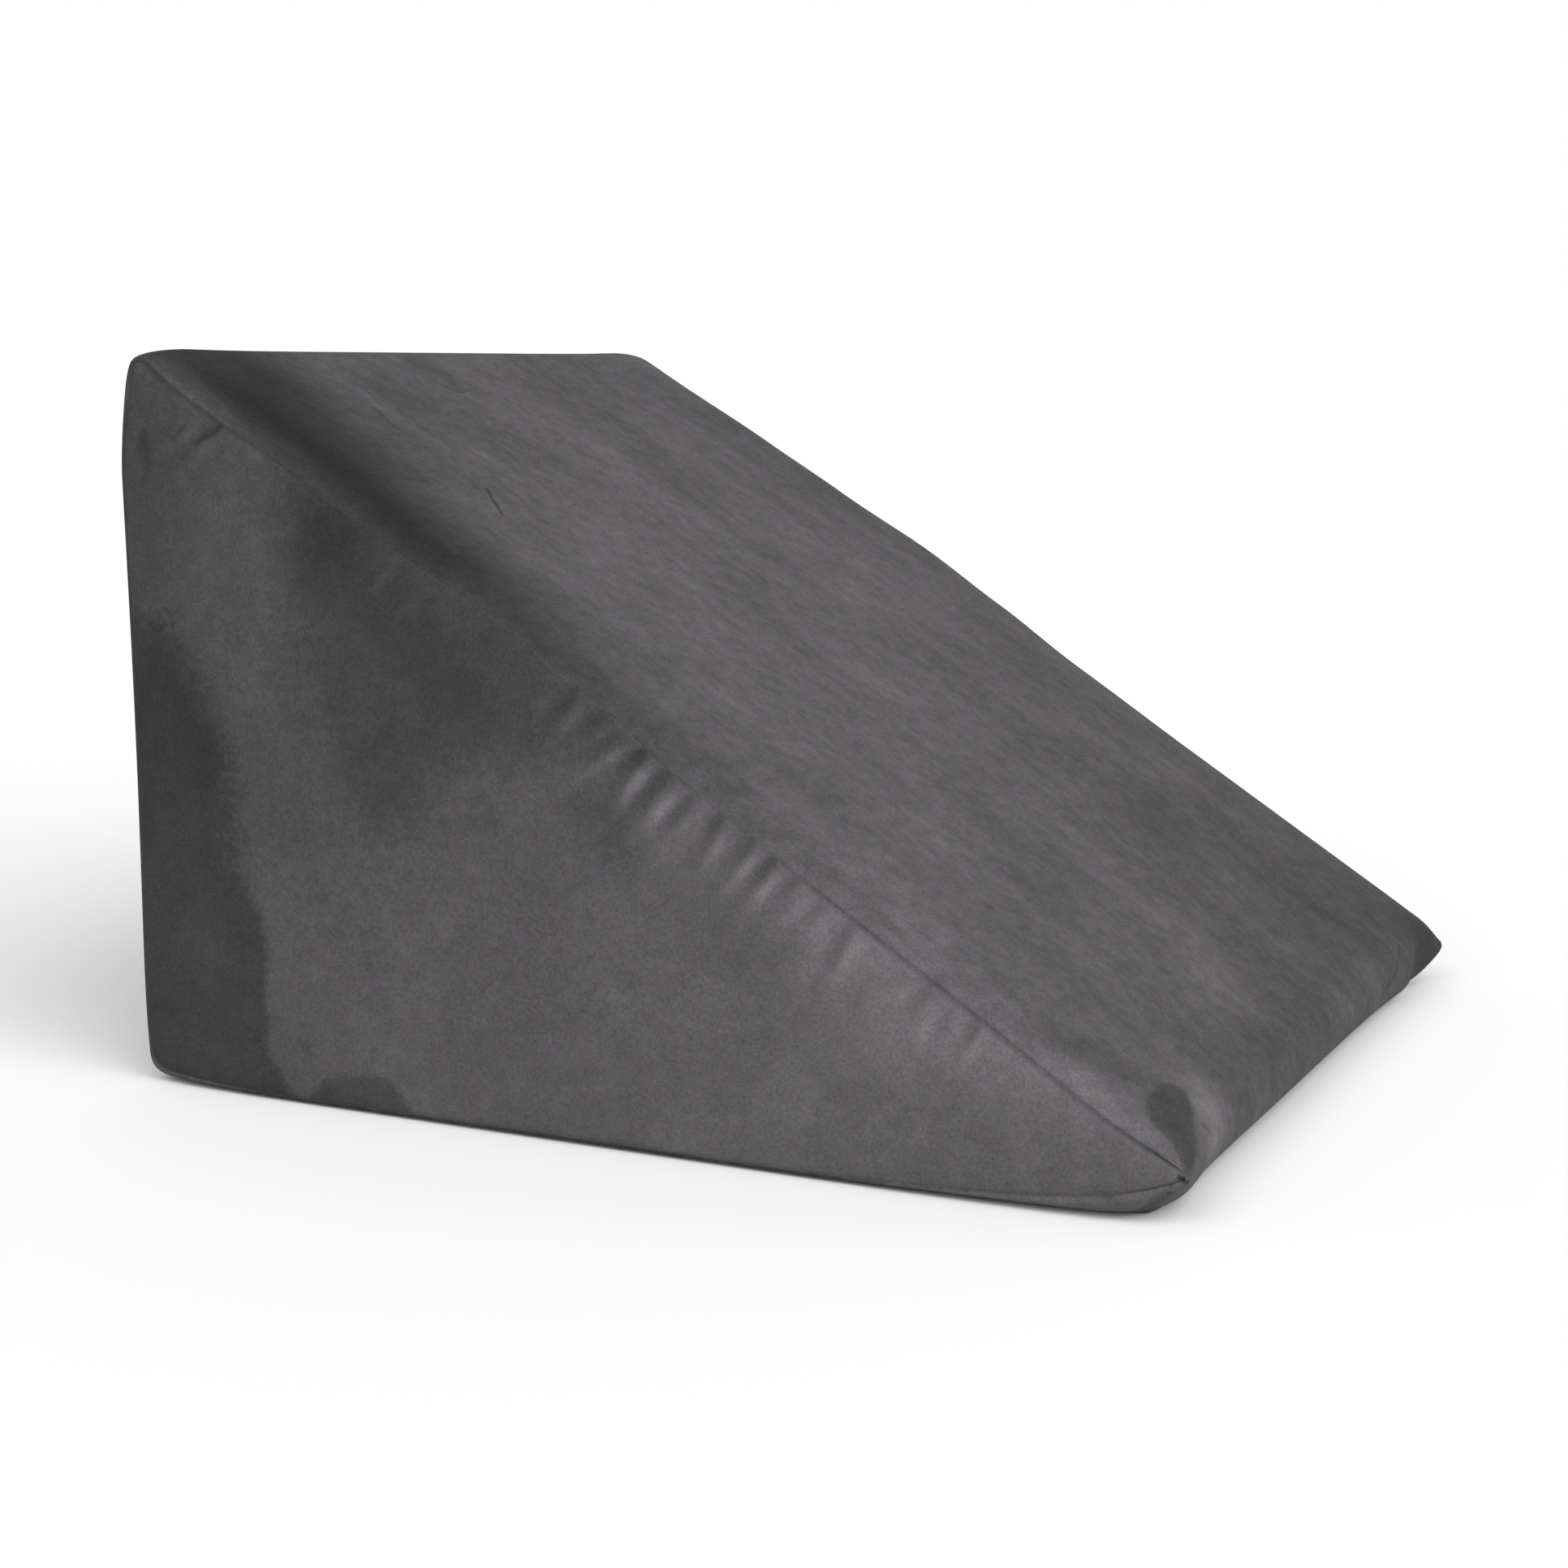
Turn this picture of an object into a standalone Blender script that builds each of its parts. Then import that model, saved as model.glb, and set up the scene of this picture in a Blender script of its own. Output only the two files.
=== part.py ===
"""A wedge cushion: firm foam in a soft cover, lying on its base.

Three panels make the cover. Two three-sided panels close the ends, and one long panel
wraps over the slope, round the toe, under the base and up the back. The seams between
them are plain, drawn in a little, and gathered where the cloth of the end was eased in.

X runs from the back to the toe, Y across the cushion with the first end at -Y, Z up.
The origin is on the floor at the middle of the footprint. Metres.
"""
import bmesh
import bpy
import numpy as np
from mathutils import Vector
from mathutils.geometry import delaunay_2d_cdt

# Overall size, before the toe's middle is drawn back
LENGTH = 0.607
WIDTH = 0.576
HEIGHT = 0.402

# The toe's middle is drawn back between its corners, and the far corner reaches further
TOE_HOLLOW = 0.0112
TOE_LEAN = 0.0045
TOE_HOLLOW_REACH = 0.110

# The back is drawn in a little between the ridge and the heel, and the heel steps in
BACK_HOLLOW = 0.0030
HEEL_STEP = 0.0060
BACK_REACH = 0.080

# Ears: the toe's corners are pulled out a little. Place of the middle, radius and pull
EARS = (
    (0.597, -0.275, 0.027, 0.030, 0.0080),
    (0.604, 0.275, 0.027, 0.030, 0.0010),
)

# The ridge sags a little between its two corners
RIDGE_SAG = 0.0030
RIDGE_SAG_REACH = 0.090

# The long edges, as discs that the cloth is stretched around
RIDGE_RADIUS = 0.0185
TOE_RADIUS = 0.0240
HEEL_RADIUS = 0.0140

# How far the slope rises above a flat board, and how much of that the edges share
SLOPE_CROWN = 0.0035
MIDDLE_CROWN = 0.0020

# The end seams, seen from the side: where their corners lie
RIDGE_CORNER = np.array((0.0130, 0.3990))
TOE_CORNER = np.array((0.6035, 0.0265))
HEEL_CORNER = np.array((0.0050, 0.0030))
CORNER_ROUND = 0.0150
TIP_ROUND = 0.0050
BASE_SEAM_LIFT_FROM = 0.400
BASE_SEAM_GENTLE_LIFT = 0.0095
HEEL_SEAM_LIFT = 0.0050
HEEL_SEAM_REACH = 0.110
BACK_SEAM_LEAN_FROM = 0.330

# How far the seams are drawn in from the crown of the end, and how fast that fades
END_DRAW = 0.0052
END_FADE = 0.0240

# Width of the soft roll from seam to flat, for the back, the slope and the base
ROLL_WIDTH = (0.034, 0.058, 0.026)
ROLL_TURNS = (0.0, 13.0, 27.0, 43.0, 62.0, 90.0)

# Steps between points, in metres
CORNER_STEP = 0.0055
CORNER_REACH = 0.030
PLAIN_STEP = 0.018
PUCKER_STEP = 0.0044
PUCKER_DEPTHS = (0.003, 0.007, 0.012, 0.018, 0.026, 0.036, 0.050)
MIDDLE_STEP = 0.036
MIDDLE_ROWS = 7

# Slope seam of the first end: fraction of the way down, and its rise over a straight line
SEAM_RISE = (
    (0.00, 0.0000),
    (0.05, -0.0012),
    (0.18, 0.0028),
    (0.27, 0.0049),
    (0.38, 0.0090),
    (0.47, 0.0066),
    (0.57, 0.0013),
    (0.70, -0.0006),
    (0.90, -0.0006),
    (1.00, 0.0000),
)

# Gathers of the first end: way down the slope seam, reach below it, half width, height,
# and lean, all in metres but the lean. A negative height is a furrow.
NEAR_GATHERS = (
    (0.070, 0.026, 0.0042, -0.0030, -0.40),
    (0.191, 0.024, 0.0050, 0.0010, -0.13),
    (0.221, 0.022, 0.0050, 0.0010, -0.16),
    (0.317, 0.026, 0.0048, -0.0020, -0.11),
    (0.327, 0.024, 0.0042, 0.0019, -0.14),
    (0.338, 0.014, 0.0034, -0.0016, -0.27),
    (0.347, 0.011, 0.0034, 0.0017, -0.40),
    (0.359, 0.031, 0.0042, 0.0026, -0.38),
    (0.366, 0.020, 0.0030, -0.0022, -0.24),
    (0.373, 0.026, 0.0042, 0.0030, -0.10),
    (0.382, 0.030, 0.0034, -0.0026, -0.16),
    (0.394, 0.028, 0.0044, 0.0028, -0.22),
    (0.398, 0.026, 0.0030, -0.0014, -0.04),
    (0.407, 0.017, 0.0040, 0.0012, -0.15),
    (0.417, 0.019, 0.0028, -0.0026, 0.00),
    (0.424, 0.024, 0.0050, 0.0020, 0.05),
    (0.436, 0.012, 0.0032, -0.0015, -0.10),
    (0.444, 0.025, 0.0040, 0.0027, -0.14),
    (0.450, 0.015, 0.0030, -0.0030, -0.05),
    (0.458, 0.021, 0.0040, 0.0025, -0.09),
    (0.466, 0.014, 0.0032, -0.0017, -0.27),
    (0.476, 0.020, 0.0042, 0.0017, -0.10),
    (0.483, 0.014, 0.0030, -0.0012, -0.12),
    (0.489, 0.016, 0.0040, 0.0013, 0.00),
    (0.500, 0.029, 0.0030, -0.0018, 0.06),
    (0.508, 0.024, 0.0048, 0.0018, 0.11),
    (0.549, 0.024, 0.0032, -0.0013, -0.04),
    (0.556, 0.026, 0.0042, 0.0014, 0.14),
    (0.569, 0.012, 0.0036, 0.0011, 0.30),
    (0.577, 0.015, 0.0030, -0.0019, 0.00),
    (0.584, 0.017, 0.0036, 0.0015, 0.00),
)

# Gathers of the other end, in the same columns
FAR_GATHERS = (
    (0.085, 0.026, 0.0065, -0.0020, 0.30),
    (0.170, 0.024, 0.0070, 0.0014, 0.12),
    (0.262, 0.028, 0.0070, 0.0022, -0.05),
    (0.283, 0.034, 0.0075, 0.0028, 0.10),
    (0.304, 0.026, 0.0060, -0.0020, 0.15),
    (0.326, 0.036, 0.0072, 0.0030, 0.08),
    (0.352, 0.030, 0.0066, 0.0024, -0.10),
    (0.371, 0.022, 0.0060, -0.0022, -0.04),
    (0.396, 0.034, 0.0074, 0.0028, -0.16),
    (0.425, 0.026, 0.0066, 0.0022, 0.06),
    (0.455, 0.030, 0.0072, 0.0026, 0.12),
    (0.512, 0.028, 0.0068, 0.0020, -0.08),
    (0.541, 0.022, 0.0060, -0.0018, 0.10),
    (0.590, 0.024, 0.0066, 0.0018, 0.20),
)

# Dents where the cloth tucks in beside the toe corners: place from the back, place in
# from the end, height, radius and depth
NEAR_DENTS = (
    (0.578, 0.030, 0.036, 0.020, 0.0030),
    (0.590, 0.010, 0.026, 0.009, 0.0026),
    (0.596, 0.020, 0.009, 0.018, 0.0050),
)
FAR_DENTS = (
    (0.582, 0.026, 0.034, 0.018, 0.0024),
    (0.600, 0.050, 0.023, 0.030, 0.0075),
)

BACK, SLOPE, BASE = range(3)

slope_line = TOE_CORNER - RIDGE_CORNER
SEAM_LENGTH = float(np.linalg.norm(slope_line))
SEAM_ALONG = slope_line / SEAM_LENGTH
SEAM_OUT = np.array((-SEAM_ALONG[1], SEAM_ALONG[0]))


# Smooth steps and tables

def ease(t):
    """A smooth step from 0 to 1."""
    t = np.clip(t, 0.0, 1.0)
    return t * t * (3.0 - 2.0 * t)


def read_table(table, value):
    """A table read with a smooth step between its rows."""
    value = np.asarray(value, float)
    result = np.full(value.shape, table[0][1])
    for (start, low), (end, high) in zip(table, table[1:]):
        result = result + (high - low) * ease((value - start) / (end - start))
    return result


# The end seams, seen from the side

def seam_rise(way):
    """Height of the slope seam over a straight line, at a way down the slope."""
    return read_table(SEAM_RISE, way / SEAM_LENGTH)


def back_seam_x(z):
    """Place of the back seam at a height."""
    lean = ease((z - BACK_SEAM_LEAN_FROM) / (RIDGE_CORNER[1] - BACK_SEAM_LEAN_FROM))
    return HEEL_CORNER[0] + (RIDGE_CORNER[0] - HEEL_CORNER[0]) * lean


def base_seam_z(x):
    """Height of the base seam, which lifts towards the toe and a little at the heel."""
    reach = np.clip((x - BASE_SEAM_LIFT_FROM) / (TOE_CORNER[0] - BASE_SEAM_LIFT_FROM), 0.0, 1.1)
    steep_lift = TOE_CORNER[1] - HEEL_CORNER[1] - BASE_SEAM_GENTLE_LIFT
    toe_lift = BASE_SEAM_GENTLE_LIFT * reach ** 1.6 + steep_lift * reach ** 8
    heel_reach = np.clip(1.0 - (x - HEEL_CORNER[0]) / HEEL_SEAM_REACH, 0.0, 1.0)
    return HEEL_CORNER[1] + toe_lift + HEEL_SEAM_LIFT * heel_reach ** 2


def slope_place(points):
    """Way down the slope seam, and depth below it, of points seen from the side."""
    offset = points - RIDGE_CORNER
    way = offset @ SEAM_ALONG
    return way, seam_rise(way) - offset @ SEAM_OUT


def seam_side(side, count=240):
    """One side of the end's outline as a fine line of points."""
    t = np.linspace(0.0, 1.0, count)
    if side == BACK:
        foot = float(base_seam_z(HEEL_CORNER[0]))
        z = foot + (RIDGE_CORNER[1] - foot) * t
        return np.stack((back_seam_x(z), z), axis=1)
    if side == SLOPE:
        way = SEAM_LENGTH * t
        return RIDGE_CORNER + way[:, None] * SEAM_ALONG + seam_rise(way)[:, None] * SEAM_OUT
    x = TOE_CORNER[0] + (HEEL_CORNER[0] - TOE_CORNER[0]) * t
    return np.stack((x, base_seam_z(x)), axis=1)


def line_lengths(line):
    steps = np.linalg.norm(np.diff(line, axis=0), axis=1)
    return np.concatenate(((0.0,), np.cumsum(steps)))


def at_fraction(line, fraction):
    """Points of a line at fractions of its length."""
    lengths = line_lengths(line)
    want = np.asarray(fraction) * lengths[-1]
    return np.stack([np.interp(want, lengths, line[:, axis]) for axis in range(2)], axis=1)


def seam_points(side, fraction):
    """The end's outline at fractions of a side, with its corners rounded."""
    line = seam_side(side)
    points = at_fraction(line, fraction)
    length = line_lengths(line)[-1]
    reach_from_start = np.asarray(fraction) * length
    corners = ((side - 1) % 3, reach_from_start), ((side + 1) % 3, length - reach_from_start)
    for place, (other_side, away) in enumerate(corners):
        toe = {side, other_side} == {SLOPE, BASE}
        radius = TIP_ROUND if toe else CORNER_ROUND
        other = seam_side(other_side)
        other_length = line_lengths(other)[-1]
        own_fraction = radius / length
        other_fraction = radius / other_length
        if place == 0:
            own = at_fraction(line, (0.0, own_fraction))
            far = at_fraction(other, (1.0 - other_fraction,))[0]
        else:
            own = at_fraction(line, (1.0, 1.0 - own_fraction))
            far = at_fraction(other, (other_fraction,))[0]
        inside = away < radius
        t = 0.5 + 0.5 * away[inside, None] / radius
        curve = (1 - t) ** 2 * far + 2 * t * (1 - t) * own[0] + t ** 2 * own[1]
        points[inside] = curve
    return points


# The body between the ends

def body_discs():
    ridge = np.array((RIDGE_RADIUS, HEIGHT - RIDGE_RADIUS)), RIDGE_RADIUS
    toe = np.array((LENGTH - TOE_RADIUS, TOE_RADIUS)), TOE_RADIUS
    heel = np.array((HEEL_RADIUS, HEEL_RADIUS)), HEEL_RADIUS
    return {BACK: (heel, ridge), SLOPE: (ridge, toe), BASE: (toe, heel)}


def slope_normal():
    """Outward direction of the board that touches the ridge disc and the toe disc."""
    (start, start_radius), (end, end_radius) = body_discs()[SLOPE]
    gap = end - start
    distance = np.linalg.norm(gap)
    along = gap / distance
    tilt = (start_radius - end_radius) / distance
    return along * tilt + np.array((-along[1], along[0])) * np.sqrt(1.0 - tilt * tilt)


def body_side(side, count=80):
    """One side of the body's outline: half an arc, the flat stretch, and half an arc."""
    slope_angle = np.arctan2(slope_normal()[1], slope_normal()[0])
    angles = {BACK: np.pi, SLOPE: slope_angle, BASE: -0.5 * np.pi}
    before = {BACK: 1.25 * np.pi, SLOPE: 0.5 * (np.pi + slope_angle), BASE: 0.5 * (slope_angle - 0.5 * np.pi)}
    after = {BACK: before[SLOPE], SLOPE: before[BASE], BASE: -0.75 * np.pi}
    (start, start_radius), (end, end_radius) = body_discs()[side]
    out = np.array((np.cos(angles[side]), np.sin(angles[side])))
    first = np.linspace(before[side], angles[side], 24)
    last = np.linspace(angles[side], after[side], 24)
    arc_in = start + start_radius * np.stack((np.cos(first), np.sin(first)), axis=1)
    arc_out = end + end_radius * np.stack((np.cos(last), np.sin(last)), axis=1)
    t = np.linspace(0.0, 1.0, count)[1:-1, None]
    flat = arc_in[-1] + (arc_out[0] - arc_in[-1]) * t
    if side == SLOPE:
        flat = flat + out * SLOPE_CROWN * np.sin(np.pi * t ** 0.75)
    return np.concatenate((arc_in, flat, arc_out))


# Where the points go along each side

def spread(length, fine_from=None, fine_to=None, fine_step=None, plain=PLAIN_STEP):
    """Fractions of a side, close together at its corners and along a fine stretch."""
    places = [0.0]
    while places[-1] < length:
        here = places[-1]
        corner = min(here, length - here)
        step = CORNER_STEP if corner < CORNER_REACH else min(plain, CORNER_STEP + 0.5 * (corner - CORNER_REACH))
        if fine_step is not None and fine_from <= here <= fine_to:
            step = min(step, fine_step)
        places.append(here + step)
    places = np.array(places)
    return (places / places[-1])[:-1]


def end_stations(gathers, step):
    """Side and fraction of every point on one end's seam."""
    ways = [row[0] for row in gathers if row[0] > 0.15]
    stations = []
    for side in (BACK, SLOPE, BASE):
        length = line_lengths(seam_side(side))[-1]
        if side == SLOPE:
            fractions = spread(length, min(ways) - 0.012, max(ways) + 0.016, step)
        else:
            fractions = spread(length)
        stations.append(fractions)
    return stations


# The surface

def gather_height(gathers, points):
    """How far the gathers lift the end's cloth at points seen from the side."""
    way, depth = slope_place(points)
    depth = np.maximum(depth, 0.0)
    lift = np.zeros(len(points))
    for place, reach, half_width, height, lean in gathers:
        across = (way - place - lean * depth) / half_width
        along = (1.0 - np.exp(-depth / 0.0025)) * np.exp(-(depth / reach) ** 2)
        lift += height * np.exp(-across ** 2) * along
    return lift


def end_depth(points):
    """How far in from the crown of the end the cloth lies, drawn in at the seams."""
    slope_depth = slope_place(points)[1]
    back_depth = points[:, 0] - back_seam_x(points[:, 1])
    base_depth = points[:, 1] - base_seam_z(points[:, 0])
    total = np.zeros(len(points))
    for depth in (slope_depth, back_depth, base_depth):
        total += END_DRAW * np.exp(-np.maximum(depth, 0.0) / END_FADE)
    return total


def add_dents(points, dents, sign):
    """Press the dents of one end into points of the long panel."""
    middle = np.array((0.36 * LENGTH, 0.0, 0.25 * HEIGHT))
    for x, inset, z, radius, depth in dents:
        centre = np.array((x, sign * (0.5 * WIDTH - inset), z))
        away = np.linalg.norm(points - centre, axis=1) / radius
        inward = middle - points
        inward[:, 1] = 0.0
        inward /= np.linalg.norm(inward, axis=1)[:, None]
        lowest = points[:, 2] < 0.001
        press = np.where(lowest, 0.0, depth * np.exp(-away ** 2))
        points = points + inward * press[:, None]
    return points


def draw_in(points):
    """Draw in the toe, the back and the ridge, and pull out the toe's corners."""
    near_toe = ease((points[:, 0] - (LENGTH - TOE_HOLLOW_REACH)) / TOE_HOLLOW_REACH)
    across = np.clip(2.0 * points[:, 1] / WIDTH, -1.0, 1.0)
    points[:, 0] += near_toe * (TOE_LEAN * across ** 3 - TOE_HOLLOW * (1.0 - across ** 6))
    near_back = 1.0 - ease(points[:, 0] / BACK_REACH)
    up = np.clip(points[:, 2] / HEIGHT, 0.0, 1.0)
    points[:, 0] += near_back * (BACK_HOLLOW * np.sin(np.pi * up) + HEEL_STEP * (1.0 - up))
    near_ridge = ease((points[:, 2] - (HEIGHT - RIDGE_SAG_REACH)) / RIDGE_SAG_REACH)
    points[:, 2] -= near_ridge * RIDGE_SAG * (1.0 - across ** 6)
    for x, y, z, radius, pull in EARS:
        away = np.linalg.norm(points - (x, y, z), axis=1) / radius
        points[:, 0] += pull * np.exp(-away ** 2)
    return points


def on_footprint(points):
    """Move the points so that the origin is under their middle."""
    low, high = points.min(axis=0), points.max(axis=0)
    return points - np.array((0.5 * (low[0] + high[0]), 0.5 * (low[1] + high[1]), low[2]))


class Surface:
    """Points and triangles of the closed cushion."""

    def __init__(self):
        self.points = []
        self.triangles = []

    def add(self, points):
        first = len(self.points)
        self.points.extend(tuple(float(v) for v in point) for point in points)
        return list(range(first, len(self.points)))

    def join_rings(self, ring_a, along_a, ring_b, along_b):
        """Triangles between two closed rings, stepping along whichever lags behind."""
        a_count, b_count = len(ring_a), len(ring_b)
        a = b = 0
        while a < a_count or b < b_count:
            next_a = along_a[a + 1] if a + 1 < a_count else 3.0
            next_b = along_b[b + 1] if b + 1 < b_count else 3.0
            if b >= b_count or (a < a_count and next_a <= next_b):
                self.triangles.append((ring_a[a], ring_a[(a + 1) % a_count], ring_b[b % b_count]))
                a += 1
            else:
                self.triangles.append((ring_a[a % a_count], ring_b[(b + 1) % b_count], ring_b[b]))
                b += 1


def ring_along(stations):
    """One number per station, growing by one for each side."""
    return [side + fraction for side in range(3) for fraction in stations[side]]


def roll_rings(stations, sign, dents):
    """The seam of one end and the rows of the soft roll that leads away from it."""
    seam = np.concatenate([seam_points(side, stations[side]) for side in range(3)])
    body = np.concatenate([at_fraction(body_side(side), stations[side]) for side in range(3)])
    inset = end_depth(seam)
    along = np.array(ring_along(stations))
    widths = np.array(ROLL_WIDTH)
    nearest = np.floor(along).astype(int)
    fraction = along - nearest
    before, after = widths[(nearest - 1) % 3], widths[(nearest + 1) % 3]
    own = widths[nearest]
    start_blend = 0.5 * (1.0 - ease(fraction / 0.08))
    end_blend = 0.5 * (1.0 - ease((1.0 - fraction) / 0.08))
    roll = own + (before - own) * start_blend + (after - own) * end_blend
    rings = []
    for turn in np.radians(ROLL_TURNS):
        flat = seam + (body - seam) * np.sin(turn)
        y = sign * (0.5 * WIDTH - inset - roll * (1.0 - np.cos(turn)))
        ring = np.stack((flat[:, 0], y, flat[:, 1]), axis=1)
        rings.append(add_dents(ring, dents, sign))
    return rings


def middle_ring(fractions, y):
    """A ring of the body between the rolls."""
    flat = np.concatenate([at_fraction(body_side(side), fractions[side]) for side in range(3)])
    lift = np.zeros(len(flat))
    first = len(fractions[BACK])
    last = first + len(fractions[SLOPE])
    across = 1.0 - (2.0 * y / WIDTH) ** 2
    lift[first:last] = MIDDLE_CROWN * across * np.sin(np.pi * fractions[SLOPE])
    flat = flat + lift[:, None] * slope_normal()
    return np.stack((flat[:, 0], np.full(len(flat), y), flat[:, 1]), axis=1)


def inner_points(outline, stations, step):
    """Points inside an end: rows below the slope seam, then a plain grid."""
    wanted = []
    slope_seam = seam_points(SLOPE, stations[SLOPE])
    for row, depth in enumerate(PUCKER_DEPTHS):
        thin = 1 if row < 5 else 2
        wanted.extend(slope_seam[(row % thin)::thin] - depth * SEAM_OUT)
    for side, out in ((BACK, (1.0, 0.0)), (BASE, (0.0, 1.0))):
        line = seam_points(side, stations[side])
        for depth in (0.007, 0.018, 0.034):
            wanted.extend(line + depth * np.array(out))
    grid = 0.026
    for row in range(int(HEIGHT / grid) + 1):
        for column in range(int(LENGTH / grid) + 1):
            wanted.append(np.array((grid * (column + 0.5 * (row % 2)), grid * row)))
    wanted = np.array(wanted)
    slope_depth = slope_place(wanted)[1]
    back_depth = wanted[:, 0] - back_seam_x(wanted[:, 1])
    base_depth = wanted[:, 1] - base_seam_z(wanted[:, 0])
    depth = np.minimum(np.minimum(slope_depth, back_depth), base_depth)
    kept = []
    taken = np.array(outline)
    for point, below, slope_below in zip(wanted, depth, slope_depth):
        if below < 0.0022:
            continue
        way = slope_place(point[None])[0][0]
        gathered = slope_below < PUCKER_DEPTHS[-1] + 0.002 and 0.2 * SEAM_LENGTH < way < 0.9 * SEAM_LENGTH
        room = 0.65 * step if gathered else min(0.012, 0.45 * below + 0.0015)
        if np.min(np.linalg.norm(taken - point, axis=1)) < room:
            continue
        kept.append(point)
        taken = np.vstack((taken, point))
    return kept


def close_end(surface, ring, stations, gathers, sign, step):
    """Fill one end inside its seam."""
    seam = np.concatenate([seam_points(side, stations[side]) for side in range(3)])
    inside = inner_points(seam, stations, step)
    flat = [Vector(point) for point in list(seam) + inside]
    edges = [(i, (i + 1) % len(seam)) for i in range(len(seam))]
    points, _, faces, origins, _, _ = delaunay_2d_cdt(flat, edges, [], 1, 1e-7)
    places = np.array(inside)
    y = sign * (0.5 * WIDTH - end_depth(places) + gather_height(gathers, places))
    inner = surface.add(np.stack((places[:, 0], y, places[:, 1]), axis=1))
    number = list(ring) + inner
    lookup = [number[origin[0]] for origin in origins]
    for face in faces:
        surface.triangles.append(tuple(lookup[corner] for corner in face))


def cushion_surface():
    surface = Surface()
    middle = [spread(line_lengths(body_side(side))[-1], plain=MIDDLE_STEP) for side in range(3)]
    inner_y = 0.5 * WIDTH - max(ROLL_WIDTH) - END_DRAW - 0.020
    rows = [surface.add(middle_ring(middle, y)) for y in np.linspace(-inner_y, inner_y, MIDDLE_ROWS)]
    middle_along = ring_along(middle)
    for ring, next_ring in zip(rows, rows[1:]):
        surface.join_rings(ring, middle_along, next_ring, middle_along)
    ends = ((-1.0, NEAR_GATHERS, NEAR_DENTS, PUCKER_STEP), (1.0, FAR_GATHERS, FAR_DENTS, 1.7 * PUCKER_STEP))
    for sign, gathers, dents, step in ends:
        stations = end_stations(gathers, step)
        along = ring_along(stations)
        rings = [surface.add(points) for points in roll_rings(stations, sign, dents)]
        for ring, next_ring in zip(rings, rings[1:]):
            surface.join_rings(ring, along, next_ring, along)
        edge_row = rows[0] if sign < 0 else rows[-1]
        surface.join_rings(rings[-1], along, edge_row, middle_along)
        close_end(surface, rings[0], stations, gathers, sign, step)
    return surface


def suede():
    material = bpy.data.materials.new("dark_grey_suede")
    material.use_nodes = True
    shader = material.node_tree.nodes["Principled BSDF"]
    shader.inputs["Base Color"].default_value = (0.105, 0.100, 0.104, 1.0)
    shader.inputs["Roughness"].default_value = 0.92
    shader.inputs["Metallic"].default_value = 0.0
    return material


def build():
    for old in list(bpy.data.objects):
        bpy.data.objects.remove(old, do_unlink=True)
    surface = cushion_surface()
    points = on_footprint(draw_in(np.array(surface.points)))
    mesh = bpy.data.meshes.new("wedge_cushion")
    mesh.from_pydata(points.tolist(), [], surface.triangles)
    work = bmesh.new()
    work.from_mesh(mesh)
    bmesh.ops.recalc_face_normals(work, faces=work.faces)
    work.to_mesh(mesh)
    work.free()
    mesh.shade_smooth()
    mesh.materials.append(suede())
    cushion = bpy.data.objects.new("wedge_cushion", mesh)
    bpy.context.scene.collection.objects.link(cushion)


build()
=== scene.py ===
"""The looks of the wedge cushion: a dark grey suede cover on a firm foam wedge.

X runs from the back to the toe, Y across with the end that faces the camera at -Y, Z up.
The origin is on the floor at the middle of the footprint. Metres.
"""

import bmesh
import bpy
import numpy as np
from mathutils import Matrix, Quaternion, Vector
from mathutils.bvhtree import BVHTree
from mathutils.geometry import delaunay_2d_cdt


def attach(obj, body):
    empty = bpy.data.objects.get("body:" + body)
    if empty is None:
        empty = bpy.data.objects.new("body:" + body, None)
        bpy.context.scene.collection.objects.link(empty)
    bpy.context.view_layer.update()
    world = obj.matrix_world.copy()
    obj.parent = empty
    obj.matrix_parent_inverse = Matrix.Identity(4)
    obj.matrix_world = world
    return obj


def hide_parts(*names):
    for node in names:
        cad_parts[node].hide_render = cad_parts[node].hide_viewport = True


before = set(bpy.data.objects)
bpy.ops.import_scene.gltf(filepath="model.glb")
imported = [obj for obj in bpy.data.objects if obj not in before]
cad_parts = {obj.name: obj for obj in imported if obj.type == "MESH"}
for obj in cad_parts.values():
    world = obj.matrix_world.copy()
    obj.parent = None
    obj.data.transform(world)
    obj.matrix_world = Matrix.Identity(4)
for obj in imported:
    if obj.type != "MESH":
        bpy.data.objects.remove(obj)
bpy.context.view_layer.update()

# Overall size, before the toe's middle is drawn back
LENGTH = 0.607
WIDTH = 0.576
HEIGHT = 0.402

# The toe's middle is drawn back between its corners, and the far corner reaches further
TOE_HOLLOW = 0.0112
TOE_LEAN = 0.0045
TOE_HOLLOW_REACH = 0.110

# The back is drawn in a little between the ridge and the heel, and the heel steps in
BACK_HOLLOW = 0.0030
HEEL_STEP = 0.0060
BACK_REACH = 0.080

# Ears: the toe's corners are pulled out a little. Place of the middle, radius and pull
EARS = (
    (0.597, -0.275, 0.027, 0.030, 0.0080),
    (0.604, 0.275, 0.027, 0.030, 0.0010),
)

# The ridge sags a little between its two corners
RIDGE_SAG = 0.0030
RIDGE_SAG_REACH = 0.090

# The long edges, as discs that the cloth is stretched around
RIDGE_RADIUS = 0.0185
TOE_RADIUS = 0.0240
HEEL_RADIUS = 0.0140

# How far the slope rises above a flat board, and how much of that the edges share
SLOPE_CROWN = 0.0035
MIDDLE_CROWN = 0.0020

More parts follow.
